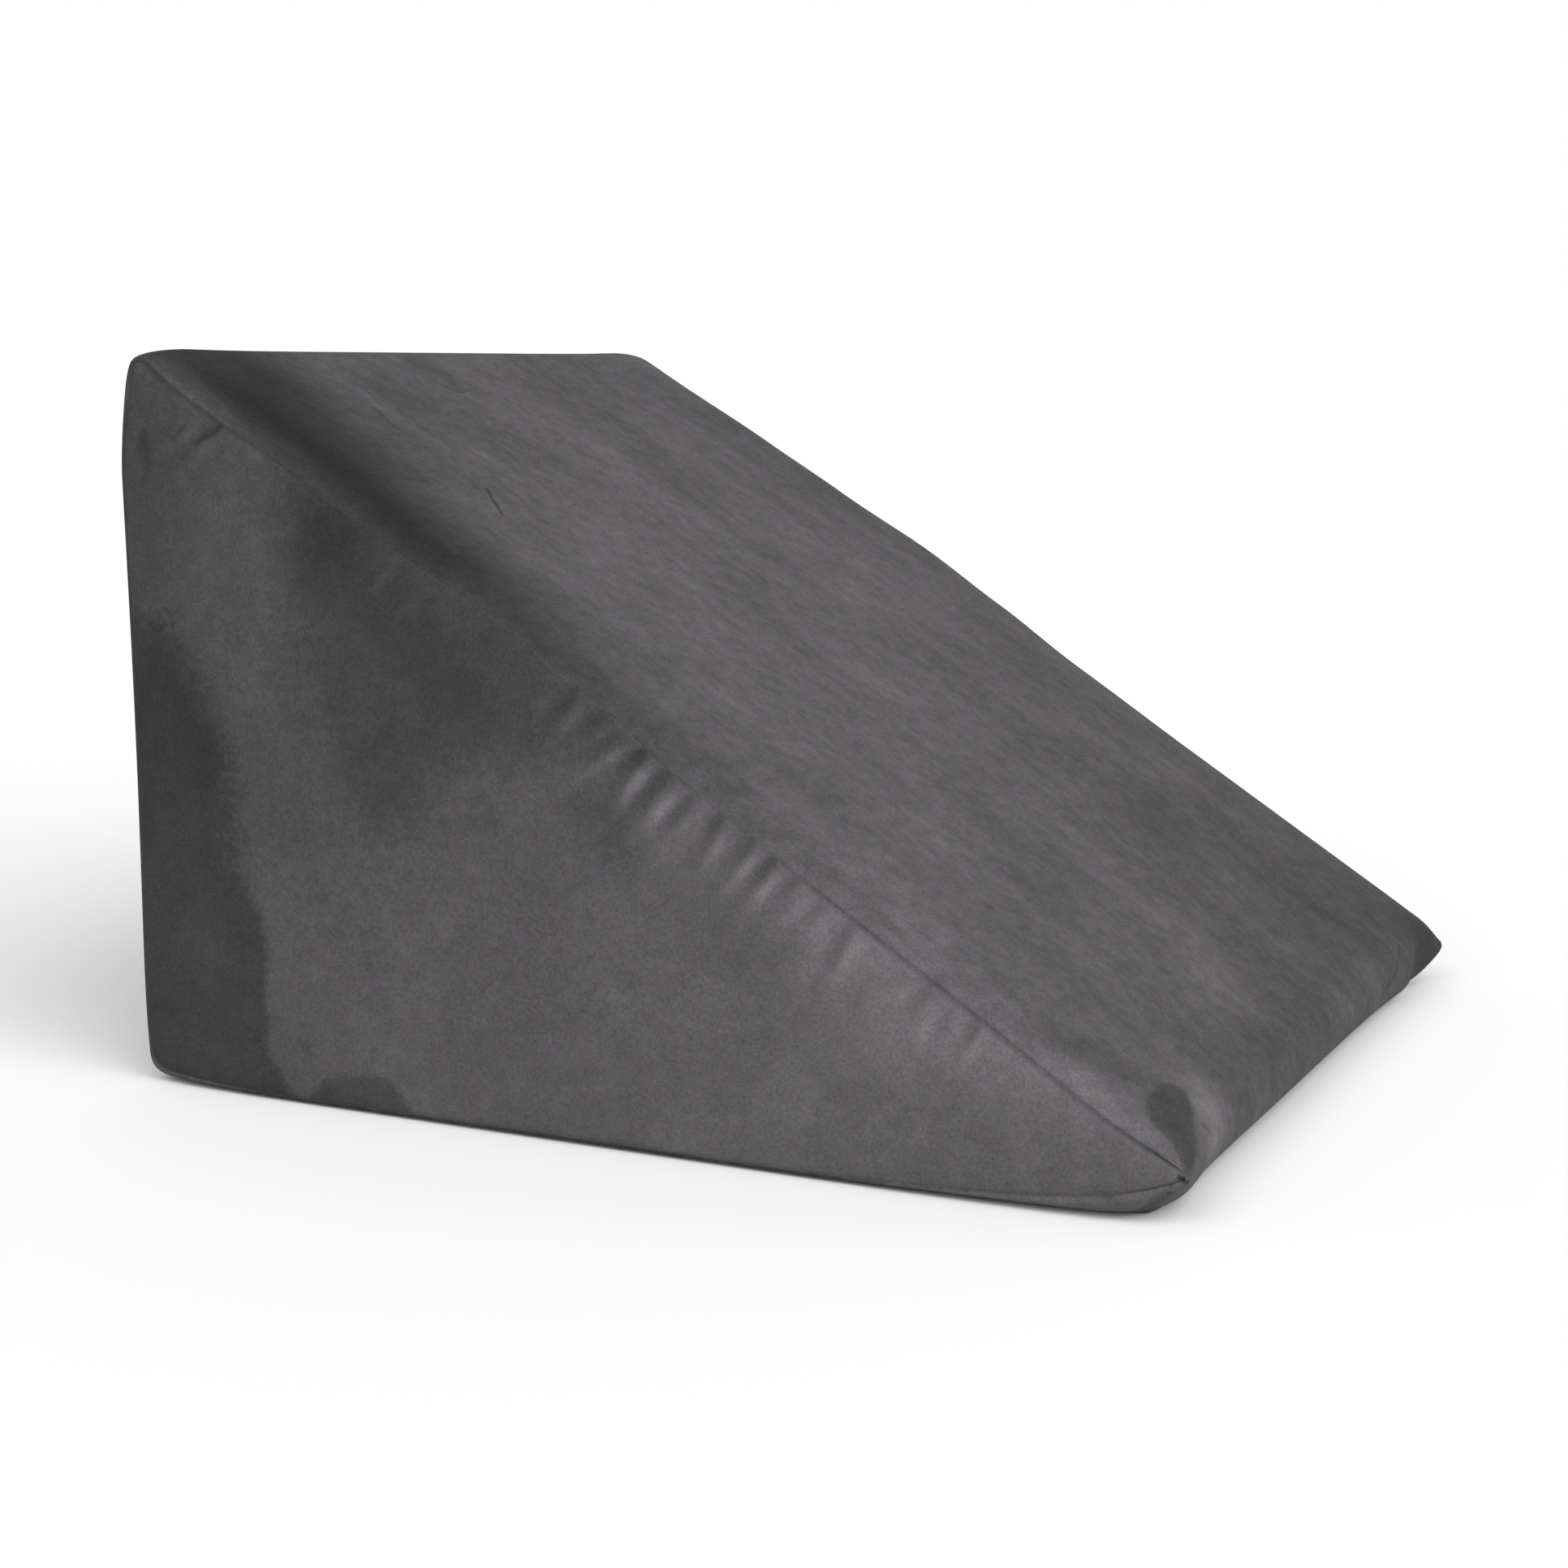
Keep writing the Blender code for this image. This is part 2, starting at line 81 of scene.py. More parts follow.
# The end seams, seen from the side: where their corners lie
RIDGE_CORNER = np.array((0.0130, 0.3990))
TOE_CORNER = np.array((0.6035, 0.0265))
HEEL_CORNER = np.array((0.0050, 0.0030))
CORNER_ROUND = 0.0150
TIP_ROUND = 0.0050
BASE_SEAM_LIFT_FROM = 0.400
BASE_SEAM_GENTLE_LIFT = 0.0095
HEEL_SEAM_LIFT = 0.0050
HEEL_SEAM_REACH = 0.110
BACK_SEAM_LEAN_FROM = 0.330

# How far the seams are drawn in from the crown of the end, and how fast that fades
END_DRAW = 0.0052
END_FADE = 0.0240

# The tuck along a seam: how deep the cloth dips, and how far to each side
TUCK_DEPTH = 0.0016
TUCK_REACH = 0.0019

# Width of the soft roll from seam to flat, for the back, the slope and the base, the share of a
# side over which it changes at a corner, and the turns in degrees of the roll's rows
ROLL_WIDTH = (0.034, 0.058, 0.026)
ROLL_CHANGE = 0.08
ROLL_TURNS = (0.0, 3.0, 6.5, 10.0, 14.0, 18.5, 23.5, 29.0, 35.0, 41.5,
              48.0, 55.0, 62.5, 70.5, 79.5, 90.0)

# Steps between points along a seam: at its corners, along its gathers and elsewhere
CORNER_STEP = 0.0022
CORNER_REACH = 0.040
PLAIN_STEP = 0.0065
FINE_STEP = 0.0021
STEP_GROWTH = 0.1

# The fine stretch of a slope seam: the way that its first gather has passed, and how much
# further the stretch reaches before the first gather and after the last one
FINE_PAST = 0.15
FINE_BEFORE = 0.012
FINE_AFTER = 0.016

# Rows of points below the slope seam and beside the other seams, how clear of the other sides
# they stay, and from which row on every other point is left out
END_ROWS = (0.0009, 0.0020, 0.0034, 0.0052, 0.0074, 0.0098, 0.0124, 0.0152, 0.0184, 0.0220,
            0.0260, 0.0304, 0.0352, 0.0404, 0.0460)
SIDE_ROWS = (0.0012, 0.0030, 0.0058, 0.0098, 0.0150, 0.0210)
ROW_CLEARANCE = 0.0006
THIN_FROM_ROW = 11

# The plain grid of an end inside those rows: steps for each end, how clear of the rows it
# stays, and the distance between its levels as a share of the step
NEAR_GRID = 0.0031
FAR_GRID = 0.0060
SLOPE_CLEARANCE = 0.003
SIDE_CLEARANCE = 0.004
GRID_LEVEL = 0.87

# Steps around and across the body between the rolls, and its distance from them
MIDDLE_STEPS = (0.0085, 0.0037, 0.0100)
MIDDLE_ROW = 0.0038
MIDDLE_CLEARANCE = 0.012

# Slope seam of the first end: fraction of the way down, and its rise over a straight line
SEAM_RISE = (
    (0.00, 0.0000),
    (0.05, -0.0012),
    (0.18, 0.0028),
    (0.27, 0.0049),
    (0.38, 0.0090),
    (0.47, 0.0066),
    (0.57, 0.0013),
    (0.70, -0.0006),
    (0.90, -0.0006),
    (1.00, 0.0000),
)

# Gathers of the first end: way down the slope seam, reach below it, half width, height,
# and lean, all in metres but the lean. A negative height is a furrow. Each one rises below the
# seam within the start.
GATHER_START = 0.0025
NEAR_GATHERS = (
    (0.070, 0.026, 0.0042, -0.0030, -0.40),
    (0.191, 0.024, 0.0050, 0.0010, -0.13),
    (0.221, 0.022, 0.0050, 0.0010, -0.16),
    (0.317, 0.026, 0.0048, -0.0020, -0.11),
    (0.327, 0.024, 0.0042, 0.0019, -0.14),
    (0.338, 0.014, 0.0034, -0.0016, -0.27),
    (0.347, 0.011, 0.0034, 0.0017, -0.40),
    (0.359, 0.031, 0.0042, 0.0026, -0.38),
    (0.366, 0.020, 0.0030, -0.0022, -0.24),
    (0.373, 0.026, 0.0042, 0.0030, -0.10),
    (0.382, 0.030, 0.0034, -0.0026, -0.16),
    (0.394, 0.028, 0.0044, 0.0028, -0.22),
    (0.398, 0.026, 0.0030, -0.0014, -0.04),
    (0.407, 0.017, 0.0040, 0.0012, -0.15),
    (0.417, 0.019, 0.0028, -0.0026, 0.00),
    (0.424, 0.024, 0.0050, 0.0020, 0.05),
    (0.436, 0.012, 0.0032, -0.0015, -0.10),
    (0.444, 0.025, 0.0040, 0.0027, -0.14),
    (0.450, 0.015, 0.0030, -0.0030, -0.05),
    (0.458, 0.021, 0.0040, 0.0025, -0.09),
    (0.466, 0.014, 0.0032, -0.0017, -0.27),
    (0.476, 0.020, 0.0042, 0.0017, -0.10),
    (0.483, 0.014, 0.0030, -0.0012, -0.12),
    (0.489, 0.016, 0.0040, 0.0013, 0.00),
    (0.500, 0.029, 0.0030, -0.0018, 0.06),
    (0.508, 0.024, 0.0048, 0.0018, 0.11),
    (0.549, 0.024, 0.0032, -0.0013, -0.04),
    (0.556, 0.026, 0.0042, 0.0014, 0.14),
    (0.569, 0.012, 0.0036, 0.0011, 0.30),
    (0.577, 0.015, 0.0030, -0.0019, 0.00),
    (0.584, 0.017, 0.0036, 0.0015, 0.00),
)

# Gathers of the other end, in the same columns
FAR_GATHERS = (
    (0.085, 0.026, 0.0065, -0.0020, 0.30),
    (0.170, 0.024, 0.0070, 0.0014, 0.12),
    (0.262, 0.028, 0.0070, 0.0022, -0.05),
    (0.283, 0.034, 0.0075, 0.0028, 0.10),
    (0.304, 0.026, 0.0060, -0.0020, 0.15),
    (0.326, 0.036, 0.0072, 0.0030, 0.08),
    (0.352, 0.030, 0.0066, 0.0024, -0.10),
    (0.371, 0.022, 0.0060, -0.0022, -0.04),
    (0.396, 0.034, 0.0074, 0.0028, -0.16),
    (0.425, 0.026, 0.0066, 0.0022, 0.06),
    (0.455, 0.030, 0.0072, 0.0026, 0.12),
    (0.512, 0.028, 0.0068, 0.0020, -0.08),
    (0.541, 0.022, 0.0060, -0.0018, 0.10),
    (0.590, 0.024, 0.0066, 0.0018, 0.20),
)

# Dents where the cloth tucks in beside the toe corners: place from the back, place in
# from the end, height, radius and depth. They press towards a point at shares of the length
# and the height, and leave the underside flat.
DENT_AIM = (0.36, 0.25)
FLAT_BELOW = 0.001
NEAR_DENTS = (
    (0.578, 0.030, 0.036, 0.020, 0.0030),
    (0.590, 0.010, 0.026, 0.009, 0.0026),
    (0.596, 0.020, 0.009, 0.018, 0.0050),
)
FAR_DENTS = (
    (0.582, 0.026, 0.034, 0.018, 0.0024),
    (0.600, 0.050, 0.023, 0.030, 0.0075),
)

# The cloth's colour, and how uneven its tone is all over: size of the patches, strength, seed
SUEDE_COLOUR = (0.0795, 0.0758, 0.0795)
UNEVEN_TONES = (
    (0.090, 0.10, 5),
    (0.040, 0.05, 6),
)

# How far the borders of nap marks wander on the ends and what share of that on the slope, the
# size of the bends, and the size and share of the finer bends on them
MARK_WANDER = 0.0036
SLOPE_WANDER = 0.4
BEND_SIZE = 0.026
FINE_BEND_SIZE = 0.011
FINE_BEND_SHARE = 0.6

# Painted light on the ends, partly nap tone: they are painted lighter towards the toe and the base,
# as if lit from that side. The direction, where along it that starts, over what distance, and the
# first and last tones
END_PAINTED_LIGHT_TOWARDS = (0.8, -0.6)
END_PAINTED_LIGHT_START = -0.20
END_PAINTED_LIGHT_REACH = 0.65
END_PAINTED_LIGHT_TONES = (0.72, 1.05)

# Painted light on the gathers: their crests are painted lighter as a highlight and their furrows
# darker as shade, by each millimetre that they stand over or under the cloth a short way aside.
# The painted highlight on the crests reaches full strength only some way below the seam.
GATHER_ASIDE = 0.0062
GATHER_CREST_HIGHLIGHT = 0.26
CREST_FROM_SEAM = 0.018
GATHER_FURROW_SHADE = 0.12
MILLIMETRE = 0.001

# Nap marks on the first end, where the pile lies the other way: corners of the mark from the
# back and up, width of its border, and tone against the cloth around it
NEAR_MARKS = (
    (((-0.02, 0.264), (0.034, 0.257), (0.050, 0.240), (0.064, 0.219), (0.072, 0.196), (0.078, 0.170),
      (0.080, 0.140), (0.082, 0.110), (-0.02, 0.100)), 0.030, 0.58),
    (((-0.02, 0.130), (0.080, 0.126), (0.094, 0.104), (0.097, 0.080), (0.096, 0.036), (0.102, 0.021),
      (0.115, -0.01), (-0.02, -0.01)), 0.010, 0.58),
    (((0.114, -0.006), (0.120, 0.005), (0.130, 0.013), (0.142, 0.019), (0.155, 0.024), (0.167, 0.024),
      (0.177, 0.019), (0.184, 0.009), (0.190, -0.006)), 0.006, 0.66),
    (((0.108, 0.336), (0.116, 0.305), (0.120, 0.278), (0.126, 0.248), (0.130, 0.222), (0.140, 0.200),
      (0.152, 0.180), (0.162, 0.163), (0.171, 0.151), (0.182, 0.158), (0.195, 0.161), (0.202, 0.180),
      (0.217, 0.190), (0.246, 0.197), (0.282, 0.201), (0.330, 0.205), (0.300, 0.235), (0.220, 0.300),
      (0.150, 0.360)), 0.034, 0.72),
    (((0.281, 0.184), (0.284, 0.168), (0.296, 0.160), (0.305, 0.151), (0.317, 0.153), (0.321, 0.168),
      (0.314, 0.184)), 0.022, 0.80),
)

# Soft tones on the first end: middle from the back and up, half length, half width, turn in
# degrees, and tone. Most are nap tones; the light rows along the seam towards the toe are a
# painted highlight.
NEAR_TONES = (
    (0.020, 0.330, 0.040, 0.080, 0.0, 0.80),
    (0.030, 0.195, 0.040, 0.070, 0.0, 0.80),
    (0.145, 0.305, 0.026, 0.024, -20.0, 0.64),
    (0.118, 0.225, 0.012, 0.040, 6.0, 0.90),
    (0.200, 0.250, 0.060, 0.030, -32.0, 0.90),
    (0.028, 0.215, 0.012, 0.030, 0.0, 1.10),
    (0.028, 0.140, 0.010, 0.045, 4.0, 1.14),
    (0.055, 0.022, 0.040, 0.016, 0.0, 1.14),
    (0.062, 0.080, 0.018, 0.022, 20.0, 1.18),
    (0.050, 0.130, 0.014, 0.060, 6.0, 1.12),
    (0.110, 0.200, 0.026, 0.080, 8.0, 1.04),
    (0.300, 0.095, 0.030, 0.030, 0.0, 1.08),
    (0.370, 0.152, 0.075, 0.018, -34.0, 1.14),
    (0.455, 0.112, 0.070, 0.020, -34.0, 1.20),
    (0.470, 0.085, 0.085, 0.032, -32.0, 1.20),
    (0.420, 0.060, 0.120, 0.060, -20.0, 1.04),
    (0.552, 0.052, 0.045, 0.016, -28.0, 1.16),
    (0.230, 0.110, 0.090, 0.060, 0.0, 1.03),
)

# Nap marks and soft tones on the other end, in the same columns
FAR_MARKS = (
    (((0.440, -0.01), (0.425, 0.022), (0.392, 0.046), (0.335, 0.052), (0.305, 0.034), (0.290, -0.01)),
     0.008, 0.70),
    (((0.090, 0.330), (0.118, 0.282), (0.108, 0.235), (0.132, 0.190), (0.112, 0.150), (0.072, 0.168),
      (0.058, 0.230), (0.066, 0.300)), 0.012, 0.76),
)
FAR_TONES = (
    (0.030, 0.120, 0.040, 0.110, 4.0, 0.74),
    (0.300, 0.170, 0.090, 0.040, -32.0, 0.82),
    (0.200, 0.110, 0.120, 0.060, 8.0, 1.12),
    (0.470, 0.060, 0.060, 0.030, -32.0, 1.18),
)

# Marks and soft tones on the slope, in the same columns, with places from the ridge and across.
# The second mark and most tones are nap; the first mark is painted shade in the fold at the near
# toe corner, the darkest tones along the near edge are a painted shaded band on the roll below the
# seam, partly nap, and the lightest tones by the near edge towards the toe are painted highlights.
SLOPE_MARKS = (
    (((0.664, -0.240), (0.664, -0.226), (0.668, -0.215), (0.676, -0.211), (0.685, -0.220), (0.691, -0.236),
      (0.695, -0.256), (0.697, -0.274), (0.692, -0.276), (0.686, -0.272), (0.679, -0.270), (0.671, -0.266),
      (0.665, -0.256)), 0.005, 0.58),
    (((0.588, -0.274), (0.594, -0.264), (0.604, -0.256), (0.617, -0.244), (0.630, -0.236), (0.643, -0.233),
      (0.654, -0.226), (0.660, -0.238), (0.652, -0.246), (0.642, -0.252), (0.627, -0.258), (0.612, -0.272),
      (0.598, -0.279)), 0.020, 0.80),
)
SLOPE_TONES = (
    (0.080, -0.253, 0.120, 0.025, 0.0, 0.38),
    (0.050, -0.216, 0.120, 0.055, -3.0, 0.30),
    (0.180, -0.265, 0.090, 0.035, 3.0, 0.38),
    (0.280, -0.273, 0.080, 0.028, 4.0, 0.66),
    (0.350, -0.280, 0.070, 0.022, 4.0, 0.82),
    (0.030, -0.285, 0.055, 0.007, 0.0, 1.25),
    (0.480, -0.272, 0.040, 0.012, 0.0, 0.80),
    (0.535, -0.281, 0.020, 0.008, 0.0, 1.12),
    (0.355, -0.240, 0.045, 0.028, 0.0, 1.10),
    (0.566, -0.255, 0.020, 0.016, 0.0, 0.90),
    (0.520, -0.268, 0.110, 0.030, 0.0, 1.18),
    (0.090, -0.100, 0.060, 0.120, 0.0, 0.92),
    (0.054, -0.112, 0.030, 0.022, 20.0, 0.74),
    (0.030, -0.030, 0.028, 0.018, 30.0, 0.82),
    (0.060, 0.110, 0.050, 0.140, 0.0, 0.88),
    (0.110, -0.060, 0.050, 0.018, 30.0, 0.88),
    (0.380, 0.260, 0.340, 0.070, 0.0, 0.86),
    (0.560, 0.100, 0.120, 0.080, 8.0, 0.82),
    (0.610, 0.010, 0.090, 0.034, 4.0, 0.88),
    (0.655, 0.180, 0.070, 0.140, 0.0, 0.70),
    (0.690, -0.060, 0.030, 0.120, 0.0, 0.74),
    (0.205, 0.018, 0.090, 0.014, -3.0, 1.08),
    (0.340, -0.006, 0.060, 0.014, 0.0, 1.07),
    (0.300, 0.080, 0.080, 0.014, -4.0, 0.92),
    (0.434, -0.168, 0.050, 0.024, 0.0, 1.08),
    (0.641, -0.138, 0.040, 0.030, 0.0, 0.86),
    (0.690, -0.203, 0.022, 0.014, -42.0, 1.80),
    (0.668, -0.262, 0.012, 0.012, 0.0, 1.22),
    (0.645, -0.276, 0.040, 0.012, 4.0, 1.30),
    (0.630, -0.215, 0.030, 0.010, -20.0, 1.10),
    (0.566, 0.158, 0.040, 0.014, -20.0, 0.84),
    (0.640, 0.148, 0.045, 0.014, 20.0, 0.84),
    (0.694, 0.262, 0.026, 0.040, 0.0, 0.58),
)

# Soft tones on the back, in the same columns, with places up from the base and across. The dark
# row along the near edge is painted shade where the cloth rolls away from the back.
BACK_TONES = (
    (0.330, -0.120, 0.070, 0.120, 10.0, 0.76),
    (0.120, 0.160, 0.110, 0.080, -20.0, 0.82),
    (0.230, 0.020, 0.060, 0.160, 4.0, 1.12),
    (0.050, -0.190, 0.060, 0.060, 0.0, 0.78),
    (0.200, -0.284, 0.260, 0.014, 0.0, 0.50),
)

# Where the tones of the slope, the back and the rim fade out: from their full strength to none,
# by depth below the slope, distance from the back, height, and distance in from an end
SLOPE_FADE = (0.045, 0.075)
BACK_FADE = (0.020, 0.040)
RIM_HEIGHT_FADE = (0.002, 0.005)
RIM_INSET_FADE = (0.016, 0.026)

# The underside's rim beside each end lies in shade
RIM_TONE = 0.30

# Creases painted dark as shade, a painted highlight on the fold at the toe corner, scratches and
# brushed lines: both ends, to be moved onto the cover, from the middle of the footprint, half
# width and tone
STROKES = (
    ((-0.245, -0.285, 0.351), (-0.230, -0.283, 0.360), 0.0029, 0.71),
    ((-0.257, -0.285, 0.353), (-0.252, -0.284, 0.359), 0.0030, 0.74),
    ((-0.278, -0.284, 0.353), (-0.276, -0.285, 0.340), 0.0070, 0.70),
    ((-0.121, -0.284, 0.294), (-0.132, -0.286, 0.280), 0.0050, 1.24),
    ((-0.227, -0.148, 0.370), (-0.203, -0.158, 0.356), 0.0018, 0.70),
    ((-0.240, -0.138, 0.377), (-0.210, -0.151, 0.360), 0.0030, 1.16),
    ((-0.211, -0.129, 0.361), (-0.193, -0.134, 0.351), 0.0016, 0.76),
    ((-0.243, -0.045, 0.379), (-0.236, -0.037, 0.375), 0.0024, 0.66),
    ((-0.236, -0.037, 0.375), (-0.241, -0.013, 0.378), 0.0018, 0.76),
    ((-0.190, -0.116, 0.349), (-0.152, -0.105, 0.327), 0.0030, 1.15),
    ((-0.184, -0.121, 0.346), (-0.176, -0.117, 0.342), 0.0015, 0.80),
    ((-0.179, -0.081, 0.343), (-0.159, -0.091, 0.332), 0.0022, 0.78),
    ((-0.147, -0.154, 0.324), (-0.126, -0.172, 0.312), 0.0022, 0.46),
    ((-0.180, -0.003, 0.344), (-0.169, -0.003, 0.338), 0.0015, 0.74),
    ((-0.258, 0.054, 0.388), (-0.248, 0.057, 0.382), 0.0020, 0.78),
    ((-0.270, 0.165, 0.394), (-0.255, 0.168, 0.386), 0.0018, 0.78),
    ((0.297, -0.279, 0.026), (0.301, -0.277, 0.023), 0.0027, 0.30),
    ((0.292, -0.277, 0.023), (0.291, -0.276, 0.017), 0.0022, 0.56),
    ((0.296, -0.277, 0.022), (0.293, -0.271, 0.017), 0.0018, 1.30),
    ((0.291, 0.198, 0.039), (0.295, 0.171, 0.027), 0.0024, 0.66),
    ((0.295, 0.171, 0.027), (0.294, 0.138, 0.020), 0.0022, 0.72),
    ((0.291, -0.224, 0.036), (0.293, -0.219, 0.032), 0.0038, 0.74),
    ((0.262, -0.172, 0.059), (0.265, -0.178, 0.057), 0.0032, 0.80),
)

# How far the strokes stray from their lines, and how many times that turns in a metre
STROKE_WOBBLE = 0.0018
STROKE_WOBBLE_SCALE = 90.0

# How plainly the slope seam of the first end shows: fraction of the way down, and depth of
# the tuck against the other seams
SEAM_SHOW = (
    (0.00, 1.10),
    (0.10, 1.00),
    (0.16, 0.45),
    (0.26, 0.12),
    (0.62, 0.14),
    (0.72, 0.90),
    (0.95, 1.05),
    (1.00, 1.80),
)
SEAM_SHOW_REACH = 0.02

# The thin dark line along the seams: tone that it takes away, half width and greatest strength
SEAM_TONE = 0.50
SEAM_LINE = 0.0011
SEAM_LINE_MOST = 1.7

# Noise of the suede: scale in a metre, detail and roughness, with its strength. The streaks run
# down the slope and lie on the long panel only, and the clouds are stronger there.
STREAK_STRETCH = (5.0, 34.0, 34.0)
STREAKS = (1.0, 3.0, 0.5)
STREAK_STRENGTH = 0.50
MOTTLE = (26.0, 3.0, 0.6)
MOTTLE_STRENGTH = 0.46
CLOUDS = (110.0, 3.0, 0.7)
CLOUD_STRENGTH = 0.48
CLOUD_EXTRA = 0.40
GRAIN = (620.0, 2.0, 0.8)
GRAIN_STRENGTH = 1.00
FRAY = (240.0, 4.0, 0.75)
FRAY_STRENGTH = 1.6
PILE = (750.0, 3.0, 0.7)
PILE_STRENGTH = 0.35
PILE_HEIGHT = 0.0006

# A mark's tone eases in across its border, between these depths in widths of the border
MARK_EASE = (-0.5, 0.5)
NO_MARK = -3.0

# Other values of the suede, by the names of the shader's inputs
SUEDE_FINISH = (
    ("Roughness", 0.95),
    ("Specular IOR Level", 0.06),
    ("Sheen Weight", 0.03),
    ("Sheen Roughness", 0.50),
    ("Sheen Tint", (0.85, 0.82, 0.85, 1.0)),
)

# Camera: place, direction in degrees and lens in millimetres
CAMERA_PLACE = (0.6336, -1.4162, 0.3950)
CAMERA_YAW = -25.34
CAMERA_PITCH = -9.06
CAMERA_ROLL = 0.27
CAMERA_LENS = 60.9
SENSOR_WIDTH = 36.0

# Floor: half its side, colour and roughness
FLOOR_REACH = 8.0
FLOOR_COLOUR = (0.92, 0.92, 0.92)
FLOOR_ROUGHNESS = 0.9

# Light: brightness of the walls and the ceiling with the heights between which one turns into
# the other, and soft lamps with the direction that each shines from and its power
WALL_LIGHT = 1.0
CEILING_LIGHT = 0.35
WALL_TOP = 0.20
CEILING_EDGE = 0.50
LAMP_ANGLE = 0.9
LAMPS = (
    ("key", (1.0, -0.5, 0.9), 2.2),
    ("front", (-0.1, -1.0, 0.9), 1.2),
)

BACK, SLOPE, BASE = range(3)
WRAP, NEAR_END, FAR_END = range(3)

slope_line = TOE_CORNER - RIDGE_CORNER
SEAM_LENGTH = float(np.linalg.norm(slope_line))
SEAM_ALONG = slope_line / SEAM_LENGTH
SEAM_OUT = np.array((-SEAM_ALONG[1], SEAM_ALONG[0]))


# Smooth steps and tables

def ease(t):
    """A smooth step from 0 to 1."""
    t = np.clip(t, 0.0, 1.0)
    return t * t * (3.0 - 2.0 * t)


def fade(value, full, none):
    """A smooth step from 1 at one value to 0 at another."""
    return ease((none - value) / (none - full))


def read_table(table, value):
    """A table read with a smooth step between its rows."""
    value = np.asarray(value, float)
    result = np.full(value.shape, table[0][1])
    for (start, low), (end, high) in zip(table, table[1:]):
        result = result + (high - low) * ease((value - start) / (end - start))
    return result


def uneven(points, size, seed):
    """Smooth noise from -1 to 1 with features of a given size."""
    lattice = np.random.RandomState(seed).rand(32, 32, 32)
    place = points / size
    cell = np.floor(place).astype(int)
    part = ease(place - cell)
    total = np.zeros(len(points))
    for corner in np.ndindex(2, 2, 2):
        weight = np.prod(np.where(corner, part, 1.0 - part), axis=1)
        x, y, z = ((cell + corner) % 32).T
        total += weight * lattice[x, y, z]
    return 2.0 * total - 1.0


# The end seams, seen from the side

def seam_rise(way):
    """Height of the slope seam over a straight line, at a way down the slope."""
    return read_table(SEAM_RISE, way / SEAM_LENGTH)


def back_seam_x(z):
    """Place of the back seam at a height."""
    lean = ease((z - BACK_SEAM_LEAN_FROM) / (RIDGE_CORNER[1] - BACK_SEAM_LEAN_FROM))
    return HEEL_CORNER[0] + (RIDGE_CORNER[0] - HEEL_CORNER[0]) * lean


def base_seam_z(x):
    """Height of the base seam, which lifts towards the toe and a little at the heel."""
    reach = np.clip((x - BASE_SEAM_LIFT_FROM) / (TOE_CORNER[0] - BASE_SEAM_LIFT_FROM), 0.0, 1.1)
    steep_lift = TOE_CORNER[1] - HEEL_CORNER[1] - BASE_SEAM_GENTLE_LIFT
    toe_lift = BASE_SEAM_GENTLE_LIFT * reach ** 1.6 + steep_lift * reach ** 8
    heel_reach = np.clip(1.0 - (x - HEEL_CORNER[0]) / HEEL_SEAM_REACH, 0.0, 1.0)
    return HEEL_CORNER[1] + toe_lift + HEEL_SEAM_LIFT * heel_reach ** 2


def slope_place(points):
    """Way down the slope seam, and depth below it, of points seen from the side."""
    offset = points - RIDGE_CORNER
    way = offset @ SEAM_ALONG
    return way, seam_rise(way) - offset @ SEAM_OUT


def side_depths(points):
    """Depth of points below the back, slope and base seams."""
    return (points[:, 0] - back_seam_x(points[:, 1]),
            slope_place(points)[1],
            points[:, 1] - base_seam_z(points[:, 0]))


def seam_side(side, count=600):
    """One side of the end's outline as a fine line of points."""
    t = np.linspace(0.0, 1.0, count)
    if side == BACK:
        foot = float(base_seam_z(HEEL_CORNER[0]))
        z = foot + (RIDGE_CORNER[1] - foot) * t
        return np.stack((back_seam_x(z), z), axis=1)
    if side == SLOPE:
        way = SEAM_LENGTH * t
        return RIDGE_CORNER + way[:, None] * SEAM_ALONG + seam_rise(way)[:, None] * SEAM_OUT
    x = TOE_CORNER[0] + (HEEL_CORNER[0] - TOE_CORNER[0]) * t
    return np.stack((x, base_seam_z(x)), axis=1)


def line_lengths(line):
    steps = np.linalg.norm(np.diff(line, axis=0), axis=1)
    return np.concatenate(((0.0,), np.cumsum(steps)))


def at_fraction(line, fraction):
    """Points of a line at fractions of its length."""
    lengths = line_lengths(line)
    want = np.asarray(fraction) * lengths[-1]
    return np.stack([np.interp(want, lengths, line[:, axis]) for axis in range(2)], axis=1)


def seam_points(side, fraction):
    """The end's outline at fractions of a side, with its corners rounded."""
    line = seam_side(side)
    points = at_fraction(line, fraction)
    length = line_lengths(line)[-1]
    reach_from_start = np.asarray(fraction) * length
    neighbours = ((side - 1) % 3, reach_from_start), ((side + 1) % 3, length - reach_from_start)
    for place, (other_side, away) in enumerate(neighbours):
        toe = {side, other_side} == {SLOPE, BASE}
        radius = TIP_ROUND if toe else CORNER_ROUND
        other = seam_side(other_side)
        other_length = line_lengths(other)[-1]
        own_fraction = radius / length
        other_fraction = radius / other_length
        if place == 0:
            own = at_fraction(line, (0.0, own_fraction))
            far = at_fraction(other, (1.0 - other_fraction,))[0]
        else:
            own = at_fraction(line, (1.0, 1.0 - own_fraction))
            far = at_fraction(other, (other_fraction,))[0]
        inside = away < radius
        t = 0.5 + 0.5 * away[inside, None] / radius
        points[inside] = (1 - t) ** 2 * far + 2 * t * (1 - t) * own[0] + t ** 2 * own[1]
    return points


# The body between the ends

